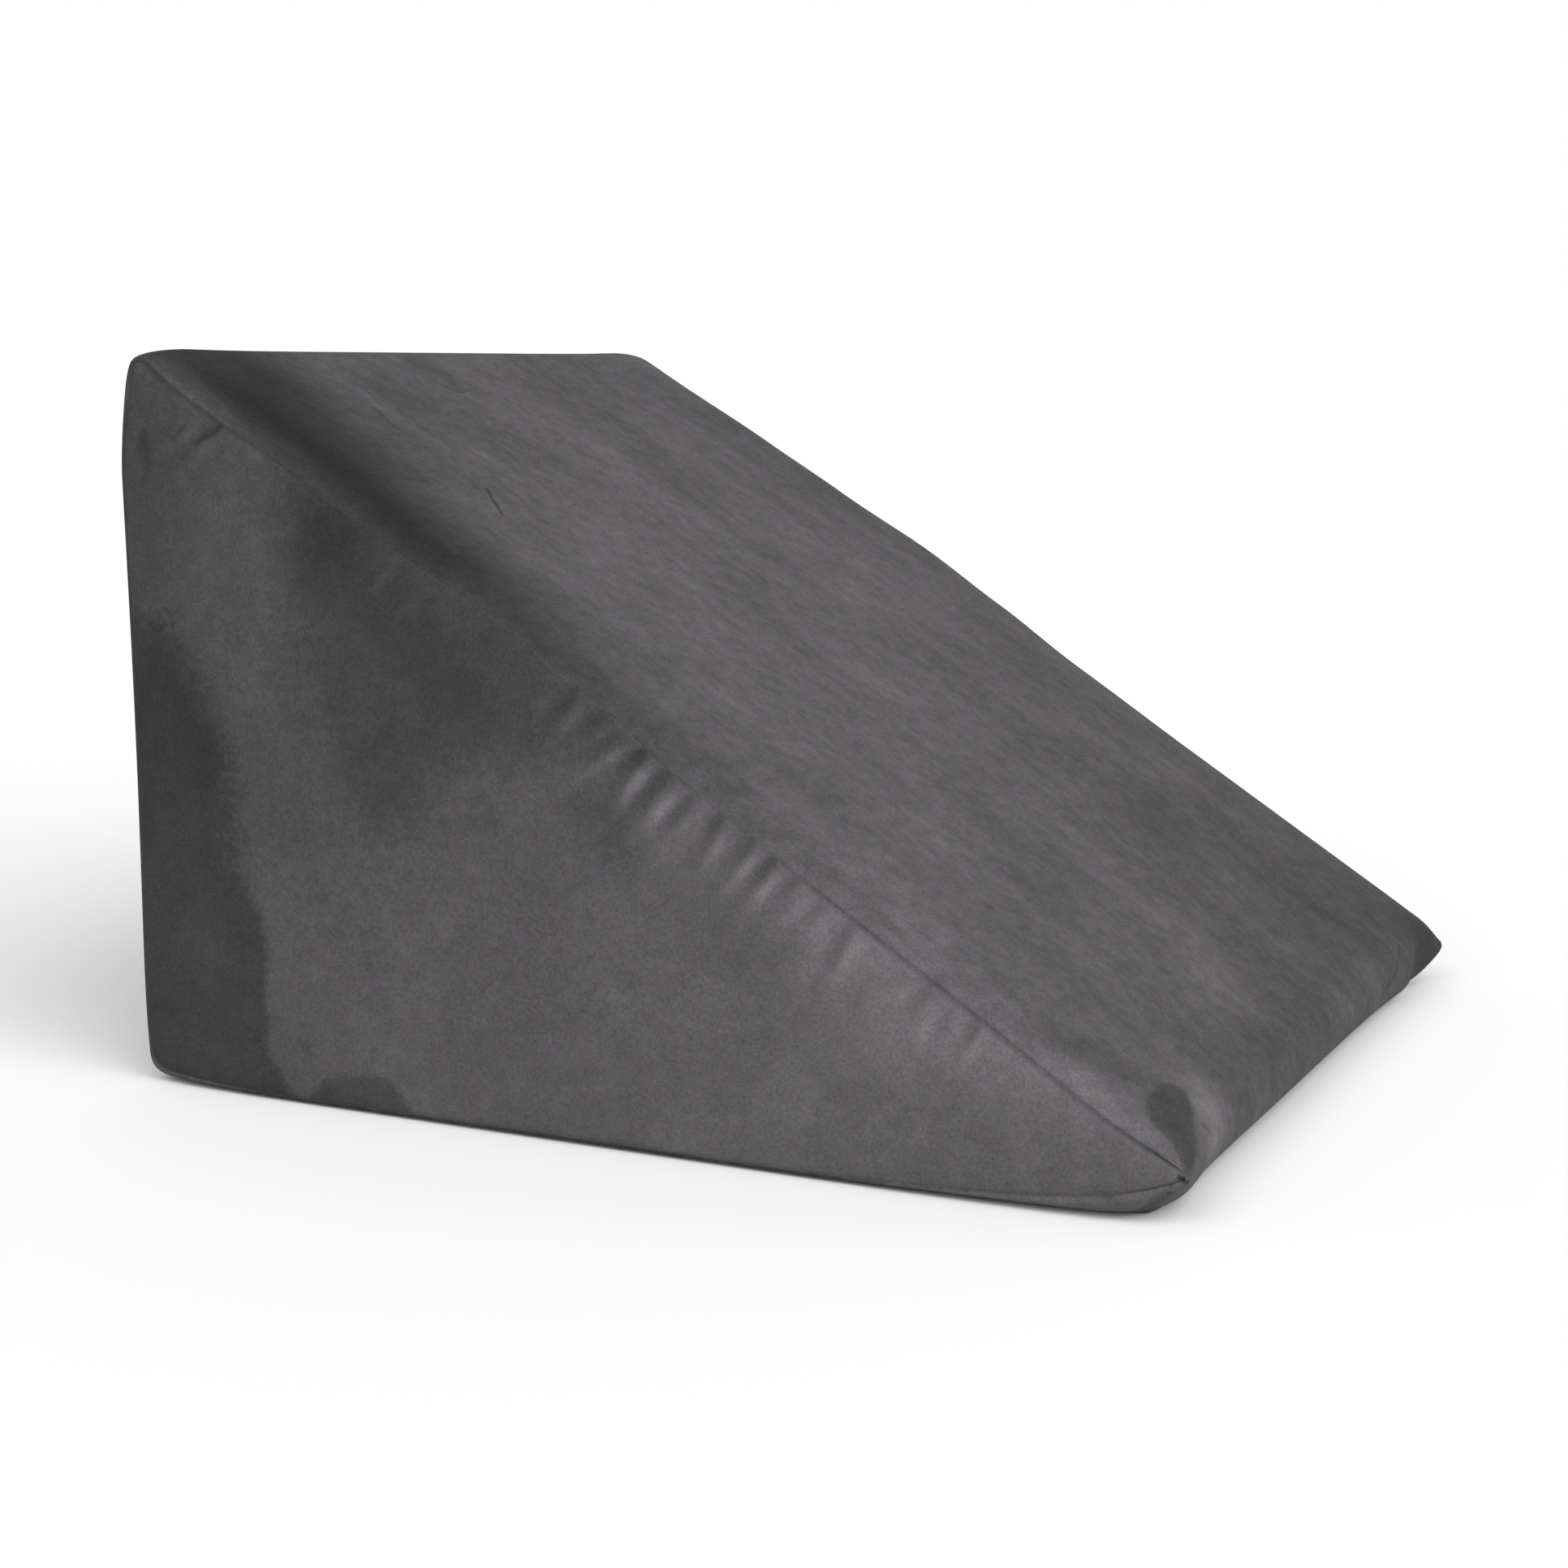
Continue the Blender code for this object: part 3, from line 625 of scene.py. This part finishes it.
def body_discs():
    ridge = np.array((RIDGE_RADIUS, HEIGHT - RIDGE_RADIUS)), RIDGE_RADIUS
    toe = np.array((LENGTH - TOE_RADIUS, TOE_RADIUS)), TOE_RADIUS
    heel = np.array((HEEL_RADIUS, HEEL_RADIUS)), HEEL_RADIUS
    return {BACK: (heel, ridge), SLOPE: (ridge, toe), BASE: (toe, heel)}


def slope_normal():
    """Outward direction of the board that touches the ridge disc and the toe disc."""
    (start, start_radius), (end, end_radius) = body_discs()[SLOPE]
    gap = end - start
    distance = np.linalg.norm(gap)
    along = gap / distance
    tilt = (start_radius - end_radius) / distance
    return along * tilt + np.array((-along[1], along[0])) * np.sqrt(1.0 - tilt * tilt)


def body_side(side, count=200):
    """One side of the body's outline: half an arc, the flat stretch, and half an arc."""
    slope_angle = np.arctan2(slope_normal()[1], slope_normal()[0])
    toe_middle = 0.5 * (slope_angle - 0.5 * np.pi)
    angles = {BACK: np.pi, SLOPE: slope_angle, BASE: -0.5 * np.pi}
    before = {BACK: 1.25 * np.pi, SLOPE: 0.5 * (np.pi + slope_angle), BASE: toe_middle}
    after = {BACK: before[SLOPE], SLOPE: before[BASE], BASE: -0.75 * np.pi}
    (start, start_radius), (end, end_radius) = body_discs()[side]
    out = np.array((np.cos(angles[side]), np.sin(angles[side])))
    first = np.linspace(before[side], angles[side], 40)
    last = np.linspace(angles[side], after[side], 40)
    arc_in = start + start_radius * np.stack((np.cos(first), np.sin(first)), axis=1)
    arc_out = end + end_radius * np.stack((np.cos(last), np.sin(last)), axis=1)
    t = np.linspace(0.0, 1.0, count)[1:-1, None]
    flat = arc_in[-1] + (arc_out[0] - arc_in[-1]) * t
    if side == SLOPE:
        flat = flat + out * SLOPE_CROWN * np.sin(np.pi * t ** 0.75)
    return np.concatenate((arc_in, flat, arc_out))


# Where the points go along each side

def spread(length, plain, fine_from=1.0, fine_to=0.0):
    """Fractions of a side, close together at its corners and along a fine stretch."""
    places = [0.0]
    while places[-1] < length:
        here = places[-1]
        corner = min(here, length - here)
        fine = max(fine_from - here, here - fine_to, 0.0)
        corner_step = CORNER_STEP + STEP_GROWTH * max(corner - CORNER_REACH, 0.0)
        places.append(here + min(plain, corner_step, FINE_STEP + STEP_GROWTH * fine))
    places = np.array(places)
    return (places / places[-1])[:-1]


def end_stations(gathers):
    """Fractions of every point on one end's seam, for each side."""
    ways = [row[0] for row in gathers if row[0] > FINE_PAST]
    stations = []
    for side in (BACK, SLOPE, BASE):
        length = line_lengths(seam_side(side))[-1]
        fine = (min(ways) - FINE_BEFORE, max(ways) + FINE_AFTER) if side == SLOPE else ()
        stations.append(spread(length, PLAIN_STEP, *fine))
    return stations


# The surface

def gather_height(gathers, points):
    """How far the gathers lift the end's cloth at points seen from the side."""
    way, depth = slope_place(points)
    depth = np.maximum(depth, 0.0)
    lift = np.zeros(len(points))
    for place, reach, half_width, height, lean in gathers:
        across = (way - place - lean * depth) / half_width
        along = (1.0 - np.exp(-depth / GATHER_START)) * np.exp(-(depth / reach) ** 2)
        lift += height * np.exp(-across ** 2) * along
    return lift


def seam_show(points, near):
    """How plainly the seam shows at points seen from the side."""
    if not near:
        return np.ones(len(points))
    way, depth = slope_place(points)
    by_slope = ease(1.5 - depth / SEAM_SHOW_REACH)
    return 1.0 + (read_table(SEAM_SHOW, way / SEAM_LENGTH) - 1.0) * by_slope


def end_depth(points, near):
    """How far in from the crown of the end the cloth lies, drawn in at the seams."""
    total = np.zeros(len(points))
    show = seam_show(points, near)
    nearest = np.full(len(points), 1.0)
    for depth in side_depths(points):
        depth = np.maximum(depth, 0.0)
        total += END_DRAW * np.exp(-depth / END_FADE)
        nearest = np.minimum(nearest, depth)
    return total + TUCK_DEPTH * show * np.exp(-nearest / TUCK_REACH)


def add_dents(points, dents, sign):
    """Press the dents of one end into points of the long panel."""
    middle = np.array((DENT_AIM[0] * LENGTH, 0.0, DENT_AIM[1] * HEIGHT))
    for x, inset, z, radius, depth in dents:
        centre = np.array((x, sign * (0.5 * WIDTH - inset), z))
        away = np.linalg.norm(points - centre, axis=1) / radius
        inward = middle - points
        inward[:, 1] = 0.0
        inward /= np.linalg.norm(inward, axis=1)[:, None]
        press = np.where(points[:, 2] < FLAT_BELOW, 0.0, depth * np.exp(-away ** 2))
        points = points + inward * press[:, None]
    return points


def draw_in(points):
    """Draw in the toe, the back and the ridge, and pull out the toe's corners."""
    near_toe = ease((points[:, 0] - (LENGTH - TOE_HOLLOW_REACH)) / TOE_HOLLOW_REACH)
    across = np.clip(2.0 * points[:, 1] / WIDTH, -1.0, 1.0)
    points[:, 0] += near_toe * (TOE_LEAN * across ** 3 - TOE_HOLLOW * (1.0 - across ** 6))
    near_back = 1.0 - ease(points[:, 0] / BACK_REACH)
    up = np.clip(points[:, 2] / HEIGHT, 0.0, 1.0)
    points[:, 0] += near_back * (BACK_HOLLOW * np.sin(np.pi * up) + HEEL_STEP * (1.0 - up))
    near_ridge = ease((points[:, 2] - (HEIGHT - RIDGE_SAG_REACH)) / RIDGE_SAG_REACH)
    points[:, 2] -= near_ridge * RIDGE_SAG * (1.0 - across ** 6)
    for x, y, z, radius, pull in EARS:
        away = np.linalg.norm(points - (x, y, z), axis=1) / radius
        points[:, 0] += pull * np.exp(-away ** 2)
    return points


def on_footprint(points):
    """Move the points so that the origin is under their middle."""
    low, high = points.min(axis=0), points.max(axis=0)
    return points - np.array((0.5 * (low[0] + high[0]), 0.5 * (low[1] + high[1]), low[2]))


class Surface:
    """Points and triangles of the closed cover, and the panel that each point is on."""

    def __init__(self):
        self.points = []
        self.panels = []
        self.triangles = []

    def add(self, points, panel=WRAP):
        first = len(self.points)
        self.points.extend(tuple(float(v) for v in point) for point in points)
        self.panels.extend([panel] * len(points))
        return list(range(first, len(self.points)))

    def join_rings(self, ring_a, along_a, ring_b, along_b):
        """Triangles between two closed rings, stepping along whichever lags behind."""
        a_count, b_count = len(ring_a), len(ring_b)
        a = b = 0
        while a < a_count or b < b_count:
            next_a = along_a[a + 1] if a + 1 < a_count else 3.0
            next_b = along_b[b + 1] if b + 1 < b_count else 3.0
            if b >= b_count or (a < a_count and next_a <= next_b):
                self.triangles.append((ring_a[a], ring_a[(a + 1) % a_count], ring_b[b % b_count]))
                a += 1
            else:
                self.triangles.append((ring_a[a % a_count], ring_b[(b + 1) % b_count], ring_b[b]))
                b += 1


def ring_along(stations):
    """One number per station, growing by one for each side."""
    return [side + fraction for side in range(3) for fraction in stations[side]]


def roll_rings(stations, sign, dents):
    """The seam of one end and the rows of the soft roll that leads away from it."""
    seam = np.concatenate([seam_points(side, stations[side]) for side in range(3)])
    body = np.concatenate([at_fraction(body_side(side), stations[side]) for side in range(3)])
    inset = end_depth(seam, sign < 0)
    show = seam_show(seam, sign < 0)
    along = np.array(ring_along(stations))
    widths = np.array(ROLL_WIDTH)
    nearest = np.floor(along).astype(int)
    fraction = along - nearest
    own = widths[nearest]
    start_blend = 0.5 * (1.0 - ease(fraction / ROLL_CHANGE))
    end_blend = 0.5 * (1.0 - ease((1.0 - fraction) / ROLL_CHANGE))
    roll = own + (widths[(nearest - 1) % 3] - own) * start_blend
    roll = roll + (widths[(nearest + 1) % 3] - own) * end_blend
    rings = []
    for turn in np.radians(ROLL_TURNS):
        flat = seam + (body - seam) * np.sin(turn)
        away = np.linalg.norm(flat - seam, axis=1) + roll * (1.0 - np.cos(turn))
        fade = np.exp(-away / TUCK_REACH) - 1.0
        y = sign * (0.5 * WIDTH - inset - TUCK_DEPTH * show * fade - roll * (1.0 - np.cos(turn)))
        ring = np.stack((flat[:, 0], y, flat[:, 1]), axis=1)
        rings.append(add_dents(ring, dents, sign))
    return rings


def middle_ring(fractions, y):
    """A ring of the body between the rolls."""
    flat = np.concatenate([at_fraction(body_side(side), fractions[side]) for side in range(3)])
    lift = np.zeros(len(flat))
    first = len(fractions[BACK])
    last = first + len(fractions[SLOPE])
    across = 1.0 - (2.0 * y / WIDTH) ** 2
    lift[first:last] = MIDDLE_CROWN * across * np.sin(np.pi * fractions[SLOPE])
    flat = flat + lift[:, None] * slope_normal()
    return np.stack((flat[:, 0], np.full(len(flat), y), flat[:, 1]), axis=1)


def inner_points(stations, spacing):
    """Points inside an end: rows beside its seams, then a plain grid."""
    kept = []
    rows = (
        (SLOPE, -SEAM_OUT, END_ROWS),
        (BACK, np.array((1.0, 0.0)), SIDE_ROWS),
        (BASE, np.array((0.0, 1.0)), SIDE_ROWS),
    )
    for side, inward, depths in rows:
        line = seam_points(side, stations[side])
        for row, depth in enumerate(depths):
            thin = 2 if row >= THIN_FROM_ROW else 1
            points = line[(row % thin)::thin] + depth * inward
            clear = np.ones(len(points), bool)
            for other, other_depth in enumerate(side_depths(points)):
                if other != side:
                    clear &= other_depth > depth + ROW_CLEARANCE
            kept.append(points[clear])
    columns = np.arange(0.0, LENGTH, spacing)
    levels = np.arange(0.0, HEIGHT, spacing * GRID_LEVEL)
    grid = np.array([(x + 0.5 * spacing * (row % 2), z)
                     for row, z in enumerate(levels) for x in columns])
    back, slope, base = side_depths(grid)
    clear = (slope > END_ROWS[-1] + SLOPE_CLEARANCE)
    clear &= np.minimum(back, base) > SIDE_ROWS[-1] + SIDE_CLEARANCE
    kept.append(grid[clear])
    return np.concatenate(kept)


def close_end(surface, ring, stations, gathers, sign, panel, spacing):
    """Fill one end inside its seam."""
    seam = np.concatenate([seam_points(side, stations[side]) for side in range(3)])
    places = inner_points(stations, spacing)
    flat = [Vector(point) for point in np.concatenate((seam, places))]
    edges = [(i, (i + 1) % len(seam)) for i in range(len(seam))]
    _, _, faces, origins, _, _ = delaunay_2d_cdt(flat, edges, [], 1, 1e-7)
    y = sign * (0.5 * WIDTH - end_depth(places, sign < 0) + gather_height(gathers, places))
    inner = surface.add(np.stack((places[:, 0], y, places[:, 1]), axis=1), panel)
    number = list(ring) + inner
    lookup = [number[origin[0]] for origin in origins]
    for face in faces:
        surface.triangles.append(tuple(lookup[corner] for corner in face))


def cover_surface():
    """The whole cover: the body, then the roll and the panel of each end."""
    surface = Surface()
    middle = [spread(line_lengths(body_side(side))[-1], MIDDLE_STEPS[side]) for side in range(3)]
    inner_y = 0.5 * WIDTH - max(ROLL_WIDTH) - END_DRAW - MIDDLE_CLEARANCE
    count = int(2 * inner_y / MIDDLE_ROW)
    rows = [surface.add(middle_ring(middle, y)) for y in np.linspace(-inner_y, inner_y, count)]
    middle_along = ring_along(middle)
    for ring, next_ring in zip(rows, rows[1:]):
        surface.join_rings(ring, middle_along, next_ring, middle_along)
    ends = ((-1.0, NEAR_GATHERS, NEAR_DENTS, NEAR_END, NEAR_GRID),
            (1.0, FAR_GATHERS, FAR_DENTS, FAR_END, FAR_GRID))
    for sign, gathers, dents, panel, spacing in ends:
        stations = end_stations(gathers)
        along = ring_along(stations)
        rings = [surface.add(points) for points in roll_rings(stations, sign, dents)]
        for ring, next_ring in zip(rings, rings[1:]):
            surface.join_rings(ring, along, next_ring, along)
        edge_row = rows[0] if sign < 0 else rows[-1]
        surface.join_rings(rings[-1], along, edge_row, middle_along)
        close_end(surface, rings[0], stations, gathers, sign, panel, spacing)
    return surface


# The nap, with painted light and shade

def mark_depth(places, outline):
    """Depth of places inside a closed outline, negative outside it."""
    outline = np.array(outline)
    nearest = np.full(len(places), np.inf)
    inside = np.zeros(len(places), bool)
    for start, end in zip(outline, np.roll(outline, -1, axis=0)):
        edge = end - start
        offset = places - start
        part = np.clip(offset @ edge / (edge @ edge), 0.0, 1.0)
        nearest = np.minimum(nearest, np.linalg.norm(offset - part[:, None] * edge, axis=1))
        crosses = (start[1] > places[:, 1]) != (end[1] > places[:, 1])
        if edge[1] != 0.0:
            inside ^= crosses & (offset[:, 0] < offset[:, 1] * edge[0] / edge[1])
    return np.where(inside, nearest, -nearest)


def deepest_mark(places, marks):
    """Depth inside the deepest mark at each place, in widths of its border, and its tone."""
    depths = np.stack([mark_depth(places, outline) / border for outline, border, _ in marks])
    tones = np.array([tone for _, _, tone in marks])
    return np.clip(depths.max(axis=0), NO_MARK, -NO_MARK), tones[depths.argmax(axis=0)]


def tone_of_patches(places, patches):
    """Tone at each place from soft patches that lie over one another."""
    tone = np.ones(len(places))
    for x, y, half_length, half_width, turn, patch_tone in patches:
        turn = np.radians(turn)
        offset = places - (x, y)
        along = offset @ (np.cos(turn), np.sin(turn))
        across = offset @ (-np.sin(turn), np.cos(turn))
        away = (along / half_length) ** 2 + (across / half_width) ** 2
        tone *= 1.0 + (patch_tone - 1.0) * np.exp(-away)
    return tone


def gather_relief(gathers, places):
    """How far the gathers' cloth stands above the cloth a short way to each side along the seam."""
    aside = GATHER_ASIDE * SEAM_ALONG
    around = gather_height(gathers, places + aside) + gather_height(gathers, places - aside)
    return gather_height(gathers, places) - 0.5 * around


def mark_wander(points):
    """How far the borders of the nap marks are moved at points, along the panel and up."""
    return MARK_WANDER * np.stack(
        [uneven(points, BEND_SIZE, seed) + FINE_BEND_SHARE * uneven(points, FINE_BEND_SIZE, seed + 2)
         for seed in (1, 2)], axis=1)


def end_tone_and_light(flat, places, near, tones, gathers):
    """Tone of one end without its marks: nap tones times a painted light gradient, painted highlights on the
    gathers' crests and painted shade in their furrows, and the dark line along the seams.
    """
    # Painted light gradient across the end, partly nap tone
    low, high = END_PAINTED_LIGHT_TONES
    towards = ease((flat @ END_PAINTED_LIGHT_TOWARDS - END_PAINTED_LIGHT_START) / END_PAINTED_LIGHT_REACH)
    tone = (low + (high - low) * towards) * tone_of_patches(places, tones)
    # Painted highlight on the gathers' crests and painted shade in their furrows
    relief = gather_relief(gathers, flat) / MILLIMETRE
    crest_highlight = GATHER_CREST_HIGHLIGHT * ease(slope_place(flat)[1] / CREST_FROM_SEAM)
    tone *= np.exp(np.where(relief > 0.0, crest_highlight, GATHER_FURROW_SHADE) * relief)
    clear = np.minimum.reduce(side_depths(flat))
    seam_line = seam_show(flat, near) * np.exp(-(clear / SEAM_LINE) ** 2)
    return tone * (1.0 - SEAM_TONE * np.clip(seam_line, 0.0, SEAM_LINE_MOST))


def partly(tone, share):
    """A tone that counts only by a share."""
    return 1.0 + (tone - 1.0) * share


def nap_and_light_values(points, panels):
    """Tone of the pile, with painted light and shade on the ends, the gathers and the slope's near roll, as
    a share of the cloth's colour, and the depth and tone of its marks.
    """
    tone = 1.0 + sum(strength * uneven(points, size, seed) for size, strength, seed in UNEVEN_TONES)
    depth = np.full(len(points), NO_MARK)
    mark_tone = np.ones(len(points))
    wander = mark_wander(points)
    flat = points[:, [0, 2]]
    ends = (
        (NEAR_END, NEAR_MARKS, NEAR_TONES, NEAR_GATHERS),
        (FAR_END, FAR_MARKS, FAR_TONES, FAR_GATHERS),
    )
    for panel, marks, tones, gathers in ends:
        own = panels == panel
        places = flat[own] + wander[own]
        depth[own], mark_tone[own] = deepest_mark(places, marks)
        tone[own] *= end_tone_and_light(flat[own], places, panel == NEAR_END, tones, gathers)
    wrap = panels == WRAP
    x, y, z = points[wrap].T
    way, below = slope_place(flat[wrap])
    on_slope = fade(below, *SLOPE_FADE)
    places = np.stack((way, y), axis=1) + SLOPE_WANDER * wander[wrap]
    # Slope marks and tones, with painted shade in the fold at the near toe corner, a painted shaded band
    # along the near roll and painted highlights near the toe
    depth[wrap], mark_tone[wrap] = deepest_mark(places, SLOPE_MARKS)
    depth[wrap] = np.where(on_slope > 0.5, depth[wrap], NO_MARK)
    tone[wrap] *= partly(tone_of_patches(places, SLOPE_TONES), on_slope)
    # Back tones, with painted shade along the near edge
    places = np.stack((z, y), axis=1) + wander[wrap]
    tone[wrap] *= partly(tone_of_patches(places, BACK_TONES), fade(x, *BACK_FADE))
    rim = fade(z, *RIM_HEIGHT_FADE) * fade(0.5 * WIDTH - np.abs(y), *RIM_INSET_FADE)
    tone[wrap] *= partly(RIM_TONE, rim)
    return tone, depth, mark_tone


# Finish

class Nodes:
    """Short forms for building a material's nodes."""

    def __init__(self, tree):
        self.tree = tree

    def add(self, kind, settings=None, **inputs):
        node = self.tree.nodes.new(kind)
        for name, value in (settings or {}).items():
            setattr(node, name, value)
        for name, value in inputs.items():
            self.feed(node.inputs[name.replace("_", " ")], value)
        return node

    def feed(self, socket, value):
        if isinstance(value, bpy.types.NodeSocket):
            self.tree.links.new(value, socket)
        else:
            socket.default_value = value

    def math(self, operation, *values):
        node = self.tree.nodes.new("ShaderNodeMath")
        node.operation = operation
        for socket, value in zip(node.inputs, values):
            self.feed(socket, value)
        return node.outputs[0]

    def vector(self, operation, *values, output="Vector"):
        node = self.tree.nodes.new("ShaderNodeVectorMath")
        node.operation = operation
        for socket, value in zip(node.inputs, values):
            self.feed(socket, value)
        return node.outputs[output]

    def scaled(self, vector, amount):
        node = self.add("ShaderNodeVectorMath", {"operation": "SCALE"}, Vector=vector, Scale=amount)
        return node.outputs["Vector"]

    def attribute(self, name):
        return self.add("ShaderNodeAttribute", {"attribute_name": name}).outputs["Fac"]

    def noise(self, vector, scale, detail, roughness):
        node = self.add("ShaderNodeTexNoise", Vector=vector, Scale=scale, Detail=detail, Roughness=roughness)
        return node.outputs["Fac"]

    def wave(self, noise, amount):
        """Noise as a factor around 1."""
        return self.math("MULTIPLY_ADD", self.math("SUBTRACT", noise, 0.5), amount, 1.0)

    def eased(self, value, start, end, low, high):
        """A smooth step from a low value at the start to a high one at the end."""
        node = self.add("ShaderNodeMapRange", {"interpolation_type": "SMOOTHSTEP"}, Value=value,
                        From_Min=start, From_Max=end, To_Min=low, To_Max=high)
        return node.outputs["Result"]


def stroke_factor(nodes, place, start, end, half_width, tone):
    """The tone of one stroke on its line, easing to 1 beside it."""
    line = end - start
    offset = nodes.vector("SUBTRACT", place, start)
    along = nodes.vector("DOT_PRODUCT", offset, line, output="Value")
    part = nodes.math("MULTIPLY", along, 1.0 / line.dot(line))
    part.node.use_clamp = True
    away = nodes.vector("DISTANCE", offset, nodes.scaled(line, part), output="Value")
    return nodes.eased(away, 0.0, half_width, tone, 1.0)


def wobbly(nodes, place):
    """Places that stray a little, so that what is drawn on them isn't straight."""
    noise = nodes.add("ShaderNodeTexNoise", Vector=place, Scale=STROKE_WOBBLE_SCALE).outputs["Color"]
    stray = nodes.vector("SUBTRACT", noise, (0.5, 0.5, 0.5))
    return nodes.vector("ADD", place, nodes.scaled(stray, STROKE_WOBBLE))


def suede(strokes):
    """The cover's material: marks, streaks, mottle, clouds, grain and strokes on one colour, over nap tones
    that carry painted light and shade.
    """
    material = bpy.data.materials.new("dark_grey_suede")
    material.use_nodes = True
    shader = material.node_tree.nodes["Principled BSDF"]
    nodes = Nodes(material.node_tree)
    place = nodes.add("ShaderNodeTexCoord").outputs["Object"]
    wrap = nodes.attribute("wrap")
    down_slope = float(np.arctan2(-slope_line[1], slope_line[0]))
    turned = nodes.add("ShaderNodeMapping", Vector=place, Rotation=(0.0, -down_slope, 0.0)).outputs[0]
    stretched = nodes.add("ShaderNodeMapping", Vector=turned, Scale=STREAK_STRETCH).outputs[0]
    frayed = nodes.math("MULTIPLY_ADD", nodes.math("SUBTRACT", nodes.noise(place, *FRAY), 0.5),
                        FRAY_STRENGTH, nodes.attribute("mark_depth"))
    on_wrap = nodes.math("MULTIPLY", wrap, STREAK_STRENGTH)
    more_on_wrap = nodes.math("MULTIPLY_ADD", wrap, CLOUD_EXTRA, CLOUD_STRENGTH)
    factors = [
        nodes.eased(frayed, *MARK_EASE, 1.0, nodes.attribute("mark_tone")),
        nodes.wave(nodes.noise(stretched, *STREAKS), on_wrap),
        nodes.wave(nodes.noise(place, *MOTTLE), MOTTLE_STRENGTH),
        nodes.wave(nodes.noise(place, *CLOUDS), more_on_wrap),
        nodes.wave(nodes.noise(place, *GRAIN), GRAIN_STRENGTH),
    ]
    drawn = wobbly(nodes, place)
    # The strokes include painted shade in creases and a painted highlight on a fold
    factors += [stroke_factor(nodes, drawn, *stroke) for stroke in strokes]
    # Nap tones with painted light and shade
    tone = nodes.attribute("nap_and_painted_light")
    for factor in factors:
        tone = nodes.math("MULTIPLY", tone, factor)
    nodes.feed(shader.inputs["Base Color"], nodes.scaled(SUEDE_COLOUR, tone))
    bump = nodes.add("ShaderNodeBump", Strength=PILE_STRENGTH, Distance=PILE_HEIGHT,
                     Height=nodes.noise(place, *PILE))
    nodes.feed(shader.inputs["Normal"], bump.outputs["Normal"])
    for name, value in SUEDE_FINISH:
        shader.inputs[name].default_value = value
    return material


def strokes_on(points, triangles):
    """The strokes with both ends moved onto the cover."""
    cover = BVHTree.FromPolygons(points, triangles)
    return [(cover.find_nearest(start)[0], cover.find_nearest(end)[0], half_width, tone)
            for start, end, half_width, tone in STROKES]


def add_values(mesh, name, values):
    layer = mesh.attributes.new(name, "FLOAT", "POINT")
    layer.data.foreach_set("value", np.asarray(values, np.float32))


def make_cover():
    surface = cover_surface()
    flat_points = np.array(surface.points)
    panels = np.array(surface.panels)
    points = on_footprint(draw_in(flat_points.copy())).tolist()
    mesh = bpy.data.meshes.new("cushion_cover")
    mesh.from_pydata(points, [], surface.triangles)
    work = bmesh.new()
    work.from_mesh(mesh)
    bmesh.ops.recalc_face_normals(work, faces=work.faces)
    work.to_mesh(mesh)
    work.free()
    mesh.shade_smooth()
    tone, mark, mark_tone = nap_and_light_values(flat_points, panels)
    # Nap tones with painted light and shade from the end gradient, the gathers and the slope's near roll
    add_values(mesh, "nap_and_painted_light", tone)
    add_values(mesh, "mark_depth", mark)
    add_values(mesh, "mark_tone", mark_tone)
    add_values(mesh, "wrap", panels == WRAP)
    mesh.materials.append(suede(strokes_on(points, surface.triangles)))
    cover = bpy.data.objects.new("cushion_cover", mesh)
    bpy.context.scene.collection.objects.link(cover)
    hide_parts("wedge_cushion")
    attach(cover, "root")
    return cover


# Studio

def plain_material(name, colour, roughness):
    material = bpy.data.materials.new(name)
    material.use_nodes = True
    shader = material.node_tree.nodes["Principled BSDF"]
    shader.inputs["Base Color"].default_value = (*colour, 1.0)
    shader.inputs["Roughness"].default_value = roughness
    return material


def make_floor():
    mesh = bpy.data.meshes.new("floor")
    sides = ((-1, -1), (1, -1), (1, 1), (-1, 1))
    mesh.from_pydata([(FLOOR_REACH * x, FLOOR_REACH * y, 0.0) for x, y in sides], [], [(0, 1, 2, 3)])
    mesh.materials.append(plain_material("pale_floor", FLOOR_COLOUR, FLOOR_ROUGHNESS))
    floor = bpy.data.objects.new("floor", mesh)
    bpy.context.scene.collection.objects.link(floor)


def light_scene():
    world = bpy.data.worlds.new("studio")
    world.use_nodes = True
    nodes = Nodes(world.node_tree)
    direction = nodes.add("ShaderNodeTexCoord").outputs["Generated"]
    height = nodes.add("ShaderNodeSeparateXYZ", Vector=direction).outputs["Z"]
    strength = nodes.eased(height, WALL_TOP, CEILING_EDGE, WALL_LIGHT, CEILING_LIGHT)
    background = world.node_tree.nodes["Background"]
    nodes.feed(background.inputs["Strength"], strength)
    background.inputs["Color"].default_value = (1.0, 1.0, 1.0, 1.0)
    bpy.context.scene.world = world
    for name, place, power in LAMPS:
        data = bpy.data.lights.new(name, "SUN")
        data.angle = LAMP_ANGLE
        data.energy = power
        lamp = bpy.data.objects.new(name, data)
        lamp.rotation_euler = Vector(place).to_track_quat("Z", "Y").to_euler()
        bpy.context.scene.collection.objects.link(lamp)
    bpy.context.scene.view_settings.view_transform = "Standard"


def make_camera():
    yaw, pitch, roll = np.radians((CAMERA_YAW, CAMERA_PITCH, CAMERA_ROLL))
    forward = Vector((np.sin(yaw) * np.cos(pitch), np.cos(yaw) * np.cos(pitch), np.sin(pitch)))
    camera = bpy.data.objects.new("camera", bpy.data.cameras.new("camera"))
    camera.data.sensor_width = SENSOR_WIDTH
    camera.data.lens = CAMERA_LENS
    camera.location = CAMERA_PLACE
    turn = forward.to_track_quat("-Z", "Y") @ Quaternion((0.0, 0.0, 1.0), roll)
    camera.rotation_euler = turn.to_euler()
    bpy.context.scene.collection.objects.link(camera)
    bpy.context.scene.camera = camera


make_camera()
make_floor()
light_scene()
make_cover()
